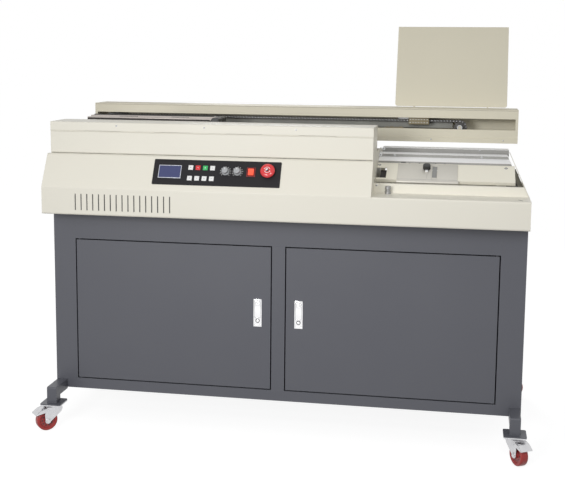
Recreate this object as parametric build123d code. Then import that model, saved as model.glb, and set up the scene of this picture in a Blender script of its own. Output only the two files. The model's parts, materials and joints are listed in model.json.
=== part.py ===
from build123d import *
import math
import os

# Floor-standing hot-melt book binder: a wheeled cabinet, a casing with a hinged hood,
# a beam that carries the book clamp, and a cover station on the right.
# Millimetres. X runs along the machine, -Y faces the operator, Z is up from the floor.

# ---------------------------------------------------------------- driving sizes
machine_width = 1400.0
running_gap = 0.3            # between pieces that move past each other
bore_gap = 0.08              # radial clearance of a pin or shaft in its hole
rim_chamfer = 1.5            # round the tops of the station's knobs

# Cabinet
cabinet_front = -190.0       # Y of the cabinet's front face
cabinet_depth = 420.0
cabinet_rise = 22.0          # from the foot plates up to the cabinet's bottom
cabinet_height = 567.0
cabinet_sheet = 2.0
frame_depth = 30.0
left_stile = 68.0
right_stile = 72.0
post_width = 39.0
post_offset = -8.0           # the middle post stands a little left of the middle
bottom_rail = 31.5
door_height = 432.0
door_gap = 3.5
door_depth = 20.0
door_sheet = 1.5
hinge_inset = 7.0            # hinge axis, from the door's edge and from its face
hinge_pin_radius = 2.5
hinge_pin_length = 16.0

# Flush door latches
latch_width = 24.5
latch_height = 83.5
latch_proud = 2.5
latch_body_depth = 16.0
latch_edge = 26.0            # from the door's free edge to the latch
latch_centre = 266.0         # above the cabinet's bottom
latch_hood = 4.5             # raised rim at the top of the latch
latch_rim = 1.5              # how far that rim stands out of the latch's face
lever_width = 17.5
lever_length = 50.0
lever_thickness = 4.0
lever_drop = 1.5             # lever's top, below the raised rim
lever_gap = 0.4              # round the lever in its recess
latch_lip = 1.8              # case's face, past its body behind the door
latch_bore = 12.0            # button's bore, from the case's face
latch_button_proud = 1.6
latch_button_radius = 5.0
latch_button_drop = 24.0     # below the latch's middle
latch_button_travel = 3.0

# Legs and casters
tube = 30.0
tube_bend = 5.0
leg_inset = 4.0              # from the cabinet's side to the leg
leg_reach = 90.0             # how far the leg stands in front of or behind the cabinet
leg_rise = 26.0              # gooseneck's top, above the cabinet's bottom
foot_plate = 64.0
foot_plate_thickness = 3.0
foot_plate_corner = 6.0
foot_bolt_radius = 3.0
foot_bolt_spacing = 48.0
foot_bolt_head = 3.0
wheel_radius = 31.5
wheel_width = 24.0
tyre_shoulder = 4.5
tyre_thickness = 8.0
wheel_hub_width = 27.0
hub_gap = 0.5                # hub to fork cheek
wheel_hub_radius = 9.0
hub_recess = 4.0
hub_holes = 10
hub_hole_radius = 2.3
wheel_room = 5.0             # between the wheel and the fork's crown
crown_thickness = 4.0
axle_radius = 4.0
axle_head_radius = 6.8
axle_head = 3.5
kingpin_radius = 6.0
kingpin_drop = 4.5           # kingpin's head, below the fork's crown
caster_trail = 24.0
fork_sheet = 2.5
race_radius = 23.0
race_height = 6.0
pedal_reach = 39.0           # from the pedal's pivot to its tip
pedal_sheet = 2.0
pedal_drop = 8.0             # its pivot, below the fork's top
pedal_pin_radius = 2.0
left_front_turn = 222.0      # direction each wheel trails, degrees from +X
right_front_turn = 300.0
left_rear_turn = 140.0
right_rear_turn = 25.0

# Casing round the machine's head
casing_sheet = 2.0
bend_radius = 2.0
apron_reach = 89.0           # apron in front of the cabinet
apron_drop = 14.0            # apron's bottom edge, below the cabinet's top
apron_rise = 66.0            # apron's top edge, above it
apron_return = 14.0
console_return = 20.0
slope_inset = 2.4            # end plates, behind the console's outer face
deck_thickness = 3.0
station_width = 434.0        # cover station, right of the console and the hood
hood_reach = 38.0
hood_left_inset = 11.0
hood_depth = 126.0
hood_rear_drop = 46.0
flap_rise = 96.5             # flap's bottom edge, above the apron
flap_height = 64.5           # from there up to the hinge line
cover_rise = 27.5            # hood's top, above the hinge line
seam_gap = 3.0
hinge_room = 2.1             # from the hinge line up to the top cover's edge
flap_return = 14.0
hinge_knuckle_radius = 1.5
hinge_pin = 0.7
hinge_leaf = 0.9
leaf_lap = 0.4               # hinge leaf behind the sheet that it is spot-welded to
knuckle_count = 9
trench_drop = 51.0           # end panel's edge, below the clamp that passes over it
trench_end = 6.0             # end panel past the rear nip bar
right_back_rise = 21.0       # back of the cover station, above the apron
cheek_lean = 0.46            # inward run of the right cheek for each unit of rise
cheek_crest = 30.0           # level top of the cheek, behind the rear nip bar
back_drop = 5.0              # left of the station the casing's back ends this far below the flap
left_post_inset = 180.0      # beam posts, from the casing's left end and from the console's right
right_post_inset = 116.0
beam_post_width = 90.0
beam_post_depth = 70.0
beam_post_sheet = 6.0
left_bracket_inset = 34.0    # station brackets, from the console's right and the casing's end
right_bracket_inset = 85.0
bracket_sheet = 6.0
bracket_inset = 12.0         # bracket's front edge, behind the table's

# Louvres in the apron
louvre_count = 17
louvre_inset = 104.0
louvre_pitch = 17.8
louvre_width = 3.2
louvre_rise = 14.5           # above the apron's bottom edge
louvre_height = 48.0

# Vents in the casing's back
vent_count = 14
vent_pitch = 16.0
vent_width = 3.5
vent_height = 60.0
vent_rise = 40.0             # above the deck
vent_places = (-440.0, 20.0)

# Gland for the mains lead, low on the casing's back
gland_inset = 76.0           # from the casing's left end
gland_rise = 30.0            # above the deck
gland_radius = 12.0
gland_nut = 10.0
gland_bore = 4.0
gland_flange = 5.0
gland_length = 18.0

# Control panel, on the sloping console. Heights run up the slope from the apron's top edge.
panel_left = -367.0
panel_width = 374.0
panel_low = 18.5
panel_high = 97.0
panel_thickness = 1.5
panel_corner = 3.0
panel_edge = 8.0             # from the panel's edge to the cut-out behind it
screen_inset = 16.0          # from here on, along the panel from its left edge
screen_width = 67.0
screen_low = 37.5
screen_height = 40.0
screen_frame = 3.0
screen_bezel = 1.5
screen_glass = 0.4           # window, above the panel
screen_step = 1.5            # case inside the window's edge
screen_depth = 8.0
key_inset = 110.0
key_size = 14.0
key_height = 0.6
key_depth = 6.0              # behind the console
key_pitch = 21.5
key_rows = (40.2, 73.0)
knob_row = 63.5
knob_insets = (213.5, 248.5)
knob_radius = 11.5
knob_height = 15.0
knob_skirt = 3.0
knob_shaft_radius = 3.0
knob_shaft = 12.0
rocker_inset = 288.0
rocker_size = (21.0, 25.0)
rocker_height = 6.0
rocker_rim = 1.5
rocker_dish = 1.7
rocker_pin_radius = 1.2
stop_inset = 337.0
stop_row = 66.0
stop_radius = 21.0
stop_height = 24.0
stop_stem_radius = 8.0
stop_travel = 5.0
stop_head = 10.0             # mushroom head's thickness
stop_tail = 7.0              # stem behind the console, past its travel

# Beam, chain and clamp carriage
beam_inset = 24.0            # beam's ends, inside the casing's
beam_rise = 190.0            # beam's bottom, above the deck
beam_height = 101.0
beam_depth = 110.0
beam_back_inset = 3.0        # beam's back, in front of the cabinet's back
beam_sheet = 2.5
slot_rise = 39.0             # slot's lower edge, above the beam's bottom
slot_height = 33.5
slot_end = 8.0               # from the beam's end to the end of its slot
skirt_drop = 1.5             # skirt's bottom edge, below the beam's bottom
skirt_height = 14.5
skirt_sheet = 1.5
chain_pitch = 9.525
sprocket_teeth = 13
sprocket_width = 5.3
sprocket_hub_radius = 13.0
sprocket_hub_width = 10.3
sprocket_axle_radius = 5.0
axle_proud = 3.5             # axle, in front of the sprocket's face
sprocket_rise = 42.3         # sprockets' axles, above the beam's bottom
idler_inset = 176.0          # from the beam's right end
drive_inset = 56.8           # from its left end, to the nearest whole number of links
roller_radius = 3.1
roller_pin_radius = 1.65
roller_pin_end = 0.6         # pin past the outer plates
seat_gap = 0.25              # between a roller and its seat in the sprocket
plate_height = 8.2
plate_thickness = 1.0
plate_gap = 0.2              # between a sprocket and the plates beside it
chain_back = 33.0            # chain's middle plane, behind the beam's front
chain_detail = 250.0         # links are made in full this far left of the idler
guide_inset = 94.5           # chain guide's right end, left of the idler's axle
guide_length = 63.0
guide_width = 28.0
guide_channel = 12.0
guide_depth = 12.0           # above and below the chain's upper run
guide_screw_radius = 2.0
hanger_inset = 7.5
hanger_sheet = 5.0
shoe_width = 20.0
shoe_length = 32.5
rail_width = 15.0
rail_height = 20.0
rail_web = 6.0
rail_back = 58.0             # front of the rail, behind the beam's front
rail_overrun = 8.0           # rail past the carriage, at both ends of its travel
arm_inset = 86.0             # from the beam's left end
arm_length = 180.0
arm_gap = 1.0                # above the slot's lower edge
arm_thickness = 8.0
lug_length = 60.0
lug_width = 8.0
clamp_inset = 36.0           # from the beam's left end
clamp_length = 402.0
clamp_end_length = 36.0
jaw_gap = 10.0
jaw_depth = 45.0
jaw_drop = 2.5               # jaws' top, below the slot's upper edge
jaw_height = 35.0
jaw_plate = 3.0
jaw_left_end = 40.0          # solid lengths at the jaws' ends
jaw_right_end = 60.0
jaw_slant = 26.0
jaw_travel = 42.0
jaw_rod_radius = 5.0
rod_drop = 15.0              # rods, below the jaws' top
rod_inset = 10.0             # right-hand rod, from the end cap
slider_wall = 5.0
clamp_travel = 880.0

# Cover station. Distances behind the cabinet's front, heights above the apron.
lip_reach = 10.0             # front lip
lip_rise = 27.5
lip_depth = 18.0
lip_drop = 15.0
table_front = 44.0           # front edge of the sloping table
table_front_rise = 36.0
table_back = 124.0
table_back_rise = 75.5
station_gap = 0.5            # between the hood's end panel and the station's pieces
table_end_inset = 38.0       # from the casing's right end
table_sheet = 2.0
table_flange = 10.0
notch_width = 29.0
notch_low = 8.0
notch_high = 62.0
nip_line = 192.0             # front face of the rear nip bar
nip_gap = 8.0
nip_step = 160.0             # step in the front nip bar
nip_bed_drop = 16.5          # bed's underside, below the table's back edge
nip_bed_thickness = 8.0
nip_end_inset = 41.0         # from the casing's right end
rear_bar_gap = 8.0           # from the hood's end panel to the rear bar
rear_bar_end_inset = 53.0
rear_bar_depth = 48.0
rear_bar_height = 48.5
rear_bar_wall = 6.0
rear_bar_end = 20.0          # solid lengths at its ends
front_bar_rises = (15.0, 23.5, 32.5, 36.0) # the front bar's stepped top, above its foot
gauge_inset = 61.0           # from the hood's end panel
gauge_width = 173.0
gauge_high = 84.0            # along the slope, from the table's front edge
gauge_sheet = 2.0
gauge_flange = 8.0
window_inset = 99.0          # window in the gauge, from its left edge
window_width = 16.0
window_low = 12.0
window_high = 72.0
gauge_slot = 6.5
gauge_knob_inset = 84.0
gauge_knob_rise = 55.0
gauge_knob_radius = 11.0
gauge_knob_height = 16.0
gauge_stud_radius = 3.0
gauge_foot_radius = 7.0      # stud's head, under the table
gauge_foot = 3.0
gauge_travel = (-55.0, 65.0)
plunger_inset = 40.5         # from the hood's end panel
plunger_radius = 8.5
plunger_height = 22.0
plunger_travel = 6.0
plunger_tail = 6.0           # left below the ledge when it is drawn up
plunger_gap = 4.0            # from the plunger to the lip behind it

# Cover tray behind the beam
tray_inset = 31.0            # from the beam's right end
tray_width = 352.0
tray_rise = 2.0              # tray's foot, above the beam
tray_gap = 4.0               # and behind it
tray_height = 253.0
tray_lean = 20.0
tray_sheet = 1.5
tray_flange = 12.0
tray_corner = 8.0
gusset_inset = 60.0
gusset_rise = 120.0
gusset_drop = 81.0           # its foot, below the beam's top
gusset_foot = 30.0
gusset_sheet = 4.0

# Glue and milling units under the clamp's path
tank_gap = 46.0              # from the tank to the console's right end
tank_length = 240.0
tank_depth = 120.0
tank_height = 92.0
tank_wall = 6.0
tank_foot = 20.0
glue_drop = 51.0             # tank's rim, below the clamp's jaws
glue_roller_radius = 26.0
glue_roller_length = 90.0
glue_roller_rise = 12.0      # roller's top, above the tank's rim
glue_shaft_radius = 8.0
glue_shaft_end = 8.0         # shaft past the tank's walls
bearing_wall = 6.0
cutter_gap = 100.0           # from the tank to the cutter's axis
cutter_drop = 49.0           # cutter's top, below the clamp's jaws
cutter_radius = 60.0
cutter_thickness = 8.0
cutter_teeth = 12
cutter_tip = (8.0, 5.0)
motor_radius = 50.0
motor_base = 10.0
motor_nose = 20.0
spindle_radius = 9.0
spindle_length = 30.0
gear_case = (46.0, 56.0)     # gear motor in the beam: length along X and height
gear_gap = 6.0               # from the drive sprocket's teeth back to the case
gear_rise = 8.0              # above the beam's floor

# ---------------------------------------------------------------- worked-out places
half_width = machine_width / 2
fork_top = 2 * wheel_radius + wheel_room + crown_thickness
leg_foot = fork_top + race_height + 2 * foot_plate_thickness
cabinet_bottom = leg_foot + cabinet_rise
leg_top = cabinet_bottom + leg_rise
cabinet_back = cabinet_front + cabinet_depth
cabinet_top = cabinet_bottom + cabinet_height
deck_top = cabinet_top + deck_thickness
door_low = cabinet_bottom + bottom_rail + door_gap
door_high = cabinet_bottom + bottom_rail + door_height
post_left = post_offset - post_width / 2
post_right = post_offset + post_width / 2
leg_centre = half_width - leg_inset - tube / 2
front_leg = cabinet_front - leg_reach + tube / 2
rear_leg = cabinet_back + leg_reach - tube / 2

apron_front = cabinet_front - apron_reach
apron_bottom = cabinet_top - apron_drop
apron_top = cabinet_top + apron_rise
console_right = half_width - station_width
hood_front = cabinet_front - hood_reach
hood_back = hood_front + hood_depth
hood_left = -half_width + hood_left_inset
flap_bottom = apron_top + flap_rise
seam_height = flap_bottom + flap_height
hood_top = seam_height + cover_rise
gland_place = -half_width + gland_inset
gland_height = deck_top + gland_rise
console_rise = flap_bottom - seam_gap - apron_top
console_run = hood_front - apron_front
console_slope = math.degrees(math.atan2(console_rise, console_run))

panel_right = panel_left + panel_width
screen_left = panel_left + screen_inset
screen_right = screen_left + screen_width
screen_high = screen_low + screen_height
rocker_place = panel_left + rocker_inset
stop_place = (panel_left + stop_inset, stop_row)

beam_half = half_width - beam_inset
beam_back = cabinet_back - beam_back_inset
beam_front = beam_back - beam_depth
beam_bottom = deck_top + beam_rise
beam_top = beam_bottom + beam_height
slot_low = beam_bottom + slot_rise
slot_high = slot_low + slot_height
pitch_radius = chain_pitch / 2 / math.sin(math.pi / sprocket_teeth)
sprocket_radius = pitch_radius + roller_radius * 0.65
sprocket_height = beam_bottom + sprocket_rise
chain_plane = beam_front + chain_back
chain_run = 2 * beam_half - idler_inset - drive_inset
chain_links = 2 * round(chain_run / chain_pitch + sprocket_teeth / 2)
run_pitches = (chain_links - sprocket_teeth) / 2
idler_place = beam_half - idler_inset
drive_place = idler_place - run_pitches * chain_pitch

clamp_line = cabinet_front + nip_line - nip_gap / 2 # the book's plane
clamp_left = -beam_half + clamp_inset
arm_left = -beam_half + arm_inset
arm_bottom = slot_low + arm_gap
rail_middle = arm_bottom + arm_thickness
jaw_top = slot_high - jaw_drop
jaw_low = jaw_top - jaw_height
rod_height = jaw_top - rod_drop

lip_top = apron_top + lip_rise
table_front_height = apron_top + table_front_rise
table_back_height = apron_top + table_back_rise
table_slope = math.degrees(
    math.atan2(table_back_height - table_front_height, table_back - table_front)
)
table_left = console_right + station_gap
nip_bed_bottom = table_back_height - nip_bed_drop
nip_bar_bottom = nip_bed_bottom + nip_bed_thickness
front_bar_high = nip_bar_bottom + front_bar_rises[-1]
rear_bar_left = console_right + rear_bar_gap
rear_bar_right = half_width - rear_bar_end_inset
gauge_left = console_right + gauge_inset
gauge_knob_place = (gauge_left + gauge_knob_inset, gauge_knob_rise)
plunger_place = console_right + plunger_inset
plunger_line = cabinet_front + lip_reach - plunger_radius - plunger_gap
tray_right = beam_half - tray_inset
tank_left = console_right - tank_gap - tank_length
tank_top = jaw_low - glue_drop
cutter_place = tank_left - cutter_gap
cutter_top = jaw_low - cutter_drop

console = Plane(
    origin=(0, apron_front, apron_top),
    x_dir=(1, 0, 0),
    z_dir=(0, -math.sin(math.radians(console_slope)), math.cos(math.radians(console_slope))),
)
table = Plane(
    origin=(0, cabinet_front + table_front, table_front_height),
    x_dir=(1, 0, 0),
    z_dir=(0, -math.sin(math.radians(table_slope)), math.cos(math.radians(table_slope))),
)


# ---------------------------------------------------------------- shape helpers
def block(x, y, z):
    """A box from three (low, high) ranges."""
    size = [high - low for low, high in (x, y, z)]
    middle = [(low + high) / 2 for low, high in (x, y, z)]
    return Pos(*middle) * Box(*size)


def along_x(outline, x_low, x_high):
    """A (y, z) outline extruded along X."""
    face = make_face(Polyline(*outline, close=True))
    return extrude(Plane.YZ.offset(x_low) * face, amount=x_high - x_low)


def along_y(outline, y_low, y_high):
    """An (x, z) outline extruded along Y."""
    face = make_face(Polyline(*outline, close=True))
    return extrude(Plane.XZ.offset(-y_high) * face, amount=y_high - y_low)


def rod(start, axis, radius, length):
    """A round bar from a point, along an axis."""
    return extrude(Plane(origin=start, z_dir=axis) * Circle(radius), amount=length)


def beside(line, distance):
    """The line moved sideways to its left, mitred at its corners."""
    normals = []
    for a, b in zip(line, line[1:]):
        length = math.dist(a, b)
        normals.append(((a[1] - b[1]) / length, (b[0] - a[0]) / length))
    moved = []
    for point, before, after in zip(line, [normals[0], *normals], [*normals, normals[-1]]):
        total = (before[0] + after[0], before[1] + after[1])
        scale = distance / (total[0] * before[0] + total[1] * before[1])
        moved.append((point[0] + total[0] * scale, point[1] + total[1] * scale))
    return moved


def bent_sheet(line, thickness, x_low, x_high, radius=bend_radius):
    """A sheet folded along X: its right-hand face follows the (y, z) line, with rounded bends."""
    other = beside(line, thickness)
    near, far = [], []
    for a, b, c in zip(line, line[1:], line[2:]):
        turn = (b[0] - a[0]) * (c[1] - b[1]) - (b[1] - a[1]) * (c[0] - b[0])
        near.append(radius + thickness if turn > 0 else radius)
        far.append(radius if turn > 0 else radius + thickness)
    if near:
        one = FilletPolyline(*line, radius=near)
        two = FilletPolyline(*other[::-1], radius=far[::-1])
    else:
        one = Line(*line)
        two = Line(*other[::-1])
    edges = [one, Line(line[-1], other[-1]), two, Line(other[0], line[0])]
    return extrude(Plane.YZ.offset(x_low) * make_face(edges), amount=x_high - x_low)


# ---------------------------------------------------------------- cabinet
def cabinet_frame():
    """Front frame welded from two stiles, two rails and a middle post, with its hinge pins."""
    low, high = cabinet_bottom + bottom_rail, cabinet_bottom + bottom_rail + door_height + door_gap
    depth = (cabinet_front, cabinet_front + frame_depth)
    whole = (cabinet_bottom, cabinet_top)
    opening = (-half_width + left_stile, half_width - right_stile)
    solids = [
        block((-half_width, opening[0]), depth, whole),
        block((opening[1], half_width), depth, whole),
        block(opening, depth, (cabinet_bottom, low)),
        block(opening, depth, (high, cabinet_top)),
        block((post_left, post_right), depth, (low, high)),
    ]
    for side in ("left", "right"):
        x, y = hinge_axis(side)
        solids.append(rod((x, y, low), (0, 0, 1), hinge_pin_radius, hinge_pin_length))
        solids.append(rod((x, y, high), (0, 0, -1), hinge_pin_radius, hinge_pin_length))
    return solids


def cabinet_shell():
    """Welded sides, back and floor, behind the front frame."""
    s = cabinet_sheet
    y = (cabinet_front + frame_depth, cabinet_back)
    z = (cabinet_bottom, cabinet_top)
    x = (-half_width + s, half_width - s)
    left = block((-half_width, x[0]), y, z)
    right = block((x[1], half_width), y, z)
    back = block(x, (y[1] - s, y[1]), z)
    floor = block(x, (y[0], y[1] - s), (z[0], z[0] + s))
    return [left, right, back, floor]


def door_edges(side):
    if side == "left":
        return -half_width + left_stile + door_gap, post_left - door_gap
    return post_right + door_gap, half_width - right_stile - door_gap


def hinge_axis(side):
    low, high = door_edges(side)
    x = low + hinge_inset if side == "left" else high - hinge_inset
    return x, cabinet_front + hinge_inset


def latch_middle(side):
    low, high = door_edges(side)
    x = high - latch_edge - latch_width / 2 if side == "left" else low + latch_edge + latch_width / 2
    return x, cabinet_bottom + latch_centre


def door(side):
    """A folded tray, with a cut-out for the latch and holes for the hinge pins."""
    low, high = door_edges(side)
    y = (cabinet_front, cabinet_front + door_depth)
    s = door_sheet
    body = block((low, high), y, (door_low, door_high))
    body -= block((low + s, high - s), (y[0] + s, y[1]), (door_low + s, door_high - s))
    x, z = latch_middle(side)
    across, up = latch_width / 2 - latch_lip + running_gap, latch_height / 2 - latch_lip - 1 + running_gap
    body -= block((x - across, x + across), (y[0], y[0] + s), (z - up, z + up))
    hole_x, hole_y = hinge_axis(side)
    hole = hinge_pin_radius + bore_gap
    body -= rod((hole_x, hole_y, door_low), (0, 0, 1), hole, door_high - door_low)
    return body


def lever_axis(side):
    """The lever's pivot: half its thickness behind its face and below its top."""
    x, z = latch_middle(side)
    half = lever_thickness / 2
    return x, cabinet_front - latch_proud + half, z + latch_height / 2 - latch_hood - lever_drop - half


def lever_space(side, grow=0.0):
    """The room that the latch's lever fills, grown on every side but the front."""
    x, y, z = lever_axis(side)
    across, half = lever_width / 2 + grow, lever_thickness / 2
    top = z + half
    return block(
        (x - across, x + across),
        (y - half, y + half + grow * 4),
        (top - lever_length - grow, top + grow),
    )


def latch_case(side):
    """The latch's chromed case, with a recess for the lever and a bore for the button."""
    x, z = latch_middle(side)
    face = cabinet_front - latch_proud
    half = latch_width / 2
    case = block((x - half, x + half), (face, cabinet_front), (z - latch_height / 2, z + latch_height / 2))
    case += block(
        (x - half + latch_lip, x + half - latch_lip),
        (cabinet_front, cabinet_front + latch_body_depth),
        (z - latch_height / 2 + latch_lip + 1, z + latch_height / 2 - latch_lip - 1),
    )
    top = z + latch_height / 2
    case += block((x - half, x + half), (face - latch_rim, face), (top - latch_hood, top))
    case -= lever_space(side, lever_gap)
    bore = rod((x, face, z - latch_button_drop), (0, 1, 0), latch_button_radius + bore_gap, latch_bore)
    return case - bore


def latch_lever(side):
    """The flush pull lever, rounded at its pivot and hooked under at its free end."""
    lever = lever_space(side)
    bottom = lever.faces().sort_by(Axis.Z)[0].edges().sort_by(Axis.Y)[-1]
    lever = chamfer(bottom, lever_thickness * 0.5)
    pivot = lever.faces().sort_by(Axis.Z)[-1].edges()
    ends = [pivot.sort_by(Axis.Y)[0], pivot.sort_by(Axis.Y)[-1]]
    return fillet(ends, lever_thickness * 0.45)


def latch_button(side):
    x, z = latch_middle(side)
    face = cabinet_front - latch_proud
    start = (x, face - latch_button_proud, z - latch_button_drop)
    length = latch_button_proud + latch_bore - latch_button_travel - running_gap
    button = rod(start, (0, 1, 0), latch_button_radius, length)
    rim = button.edges().sort_by(Axis.Y)[0]
    return chamfer(rim, 0.6)


# ---------------------------------------------------------------- legs and casters
def leg(side, end):
    """A square-tube gooseneck: out from the cabinet's foot, then down to its plate."""
    x = side * leg_centre
    y = front_leg if end < 0 else rear_leg
    root = cabinet_front if end < 0 else cabinet_back
    half = tube / 2
    outer, inner = y + end * half, y - end * half
    outline = [
        (root, leg_top),
        (outer, leg_top),
        (outer, leg_foot),
        (inner, leg_foot),
        (inner, leg_top - tube),
        (root, leg_top - tube),
    ]
    neck = along_x(outline, x - half, x + half)
    corner = neck.edges().filter_by(Axis.X).sort_by(lambda e: -e.center().Z + end * -e.center().Y)[0]
    return fillet(corner, tube_bend) + mounting_plate(x, y, leg_foot)


def mounting_plate(x, y, top):
    """A square plate with rounded corners, under a given height."""
    plate = Pos(x, y, top - foot_plate_thickness / 2) * Box(foot_plate, foot_plate, foot_plate_thickness)
    return fillet(plate.edges().filter_by(Axis.Z), foot_plate_corner)


def legs():
    return [leg(side, end) for side in (-1, 1) for end in (-1, 1)]


def caster_plate(side, end):
    """The caster's own top plate and ball race, bolted under the leg."""
    x = side * leg_centre
    y = front_leg if end < 0 else rear_leg
    top = leg_foot - foot_plate_thickness
    plate = mounting_plate(x, y, top)
    race = Pos(x, y, top - foot_plate_thickness - race_height / 2 + running_gap / 2) * Cone(
        race_radius - 3, race_radius, race_height - running_gap
    )
    under = top - foot_plate_thickness - foot_bolt_head / 2
    heads = GridLocations(foot_bolt_spacing, foot_bolt_spacing, 2, 2)
    for place in heads:
        plate += Pos(x, y, under) * place * Cylinder(foot_bolt_radius * 1.6, foot_bolt_head)
    return plate + race


def caster_plates():
    return [caster_plate(side, end) for side in (-1, 1) for end in (-1, 1)]


def caster_place(side, end, turn):
    """A caster is built trailing along +X about its swivel axis, then turned."""
    y = front_leg if end < 0 else rear_leg
    return Pos(side * leg_centre, y, 0) * Rot(0, 0, turn)


def fork():
    """A pressed fork with tapering cheeks, the wheel's axle bolt and the pedal's pins."""
    reach = fork_reach()
    inside = reach - fork_sheet
    crown_low = fork_top - crown_thickness
    back, front = -race_radius + 2, race_radius + 4
    nose = wheel_hub_radius + 1
    cheek = [
        (back, fork_top),
        (front, fork_top),
        (front + 4, crown_low - nose),
        (caster_trail + nose, wheel_radius),
        (caster_trail, wheel_radius - nose),
        (caster_trail - nose, wheel_radius - 4),
        (back, crown_low - nose),
    ]
    body = block((back, front), (-reach, reach), (crown_low, fork_top))
    for low in (inside, -reach):
        body += along_y(cheek, low, low + fork_sheet)
    body += rod((caster_trail, -reach, wheel_radius), (0, 1, 0), axle_radius, 2 * reach)
    x, z = pedal_pivot()
    pin = pedal_sheet + running_gap + 1.0
    for side in (-1, 1):
        out = (0, side, 0)
        body += rod((caster_trail, side * reach, wheel_radius), out, axle_head_radius, axle_head)
        body += rod((x, side * reach, z), out, pedal_pin_radius, pin)
    return body + rod((0, 0, crown_low - kingpin_drop), (0, 0, 1), kingpin_radius, kingpin_drop)


def wheel():
    """A tyre with rounded shoulders on a recessed hub, its web pierced by round holes."""
    half = wheel_width / 2
    hub = wheel_hub_width / 2
    rim = wheel_radius - tyre_thickness
    bore = axle_radius + bore_gap
    half_outline = [
        (bore, hub),
        (wheel_hub_radius, hub),
        (wheel_hub_radius, half - hub_recess),
        (rim, half - hub_recess),
        (rim + hub_recess / 3, half),
    ]
    other = [(r, -w) for r, w in half_outline]
    tread = FilletPolyline(
        half_outline[-1], (wheel_radius, half), (wheel_radius, -half), other[-1], radius=tyre_shoulder
    )
    profile = make_face([
        Polyline(*half_outline), tread, Polyline(*other[::-1]), Line(other[0], half_outline[0])
    ])
    turned = revolve(Plane.XZ * profile, Axis.Z)
    middle = (wheel_hub_radius + rim) / 2
    for place in PolarLocations(middle, hub_holes):
        turned -= place * Cylinder(hub_hole_radius, wheel_width)
    return Pos(caster_trail, 0, wheel_radius) * Rot(90, 0, 0) * turned


def fork_reach():
    """Half the fork's width, outside its cheeks."""
    return wheel_hub_width / 2 + hub_gap + fork_sheet


def pedal_pivot():
    """Where the brake pedal turns, along and above the trailing fork."""
    return caster_trail, fork_top - pedal_drop


def pedal():
    """A pressed brake pedal over the wheel, on two pins in the fork's cheeks."""
    x, z = pedal_pivot()
    inside = fork_reach() + running_gap
    tip = x + pedal_reach
    s = pedal_sheet
    top = [(x + 6, z + 7), (x + 22, z + 3), (tip, z - 9)]
    under = [(across, height - s) for across, height in reversed(top)]
    plate = along_y([*top, *under], -inside - s, inside + s)
    ear = [(x - 4, z + 4), *top, (x + 10, z - 6), (x - 4, z - 4)]
    for low in (inside, -inside - s):
        plate += along_y(ear, low, low + s)
    reach = inside + s
    return plate - rod((x, -reach, z), (0, 1, 0), pedal_pin_radius + bore_gap, 2 * reach)


# ---------------------------------------------------------------- casing
def on_slope(plane, x, s, depth_low, depth_high):
    """A box on a sloping plane: X range, range up the slope, range above the plane."""
    size = [high - low for low, high in (x, s, (depth_low, depth_high))]
    middle = [(low + high) / 2 for low, high in (x, s, (depth_low, depth_high))]
    return plane * Pos(*middle) * Box(*size)


def cheek_plane():
    """The outer face of the right cheek, which leans in over the cover station."""
    lean = math.atan(cheek_lean)
    return Plane(
        origin=(half_width, 0, apron_top), x_dir=(0, 1, 0), z_dir=(math.cos(lean), 0, math.sin(lean))
    )


def beyond_cheek(clearance):
    """Everything outside the cheek's inner face, less a clearance."""
    size = machine_width
    depth = casing_sheet + clearance
    return cheek_plane() * Pos(0, 0, size / 2 - depth) * Box(size, size, size)


def panel_controls():
    """Places on the console: keys, knobs, rocker and stop button."""
    keys = [(panel_left + key_inset + i * key_pitch, row) for row in key_rows for i in range(4)]
    knobs = [(panel_left + inset, knob_row) for inset in knob_insets]
    return keys, knobs


def cut_at(solids, axis, place):
    """The solids, each cut in two where it crosses a place along an axis."""
    plane = Plane(origin=axis.direction * place, z_dir=axis.direction)
    return [half for solid in solids for half in split(solid, plane, keep=Keep.BOTH).solids()]


def front_cover():
    """The casing's front: apron, console on its left, ledge and lip on its right, each a flat."""
    s = casing_sheet
    fold = s + bend_radius
    seam = (apron_front, apron_top - 2 * fold)
    apron = [seam, (apron_front, apron_bottom), (apron_front + apron_return, apron_bottom)]
    top = flap_bottom - seam_gap
    slope = [(hood_front + console_return, top), (hood_front, top), (apron_front, apron_top), seam]
    lip = cabinet_front + lip_reach
    ledge = [
        (lip + lip_depth, lip_top - lip_drop),
        (lip + lip_depth, lip_top),
        (lip, lip_top),
        (lip, apron_top),
        (apron_front, apron_top),
        seam,
    ]
    apron = bent_sheet(apron, s, -half_width, half_width)
    for i in range(louvre_count):
        x = -half_width + louvre_inset + i * louvre_pitch
        z = apron_bottom + louvre_rise + louvre_height / 2
        apron -= Pos(x, apron_front, z) * Box(louvre_width, 4 * s, louvre_height)
    slope = bent_sheet(slope, s, -half_width, console_right)
    x = (panel_left + panel_edge, panel_right - panel_edge)
    slope -= on_slope(console, x, (panel_low + panel_edge, panel_high - panel_edge), -fold, fold)
    ledge = bent_sheet(ledge, s, console_right, half_width)
    hole = rod((plunger_place, plunger_line, apron_top - fold), (0, 0, 1), plunger_radius + bore_gap, fold)
    ledge -= hole
    ledge -= block((0, half_width), (lip, lip + lip_depth), (apron_top, lip_top)) & beyond_cheek(0)
    flats = [*cut_at([apron], Axis.Z, apron_bottom + fold), *cut_at([slope], Axis.Z, top - fold)]
    ledges = [ledge]
    for place in (apron_front + fold, lip - bend_radius):
        ledges = cut_at(ledges, Axis.Y, place)
    for height in (apron_top + bend_radius, lip_top - fold):
        ledges = cut_at(ledges, Axis.Z, height)
    return [*flats, *ledges]


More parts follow.
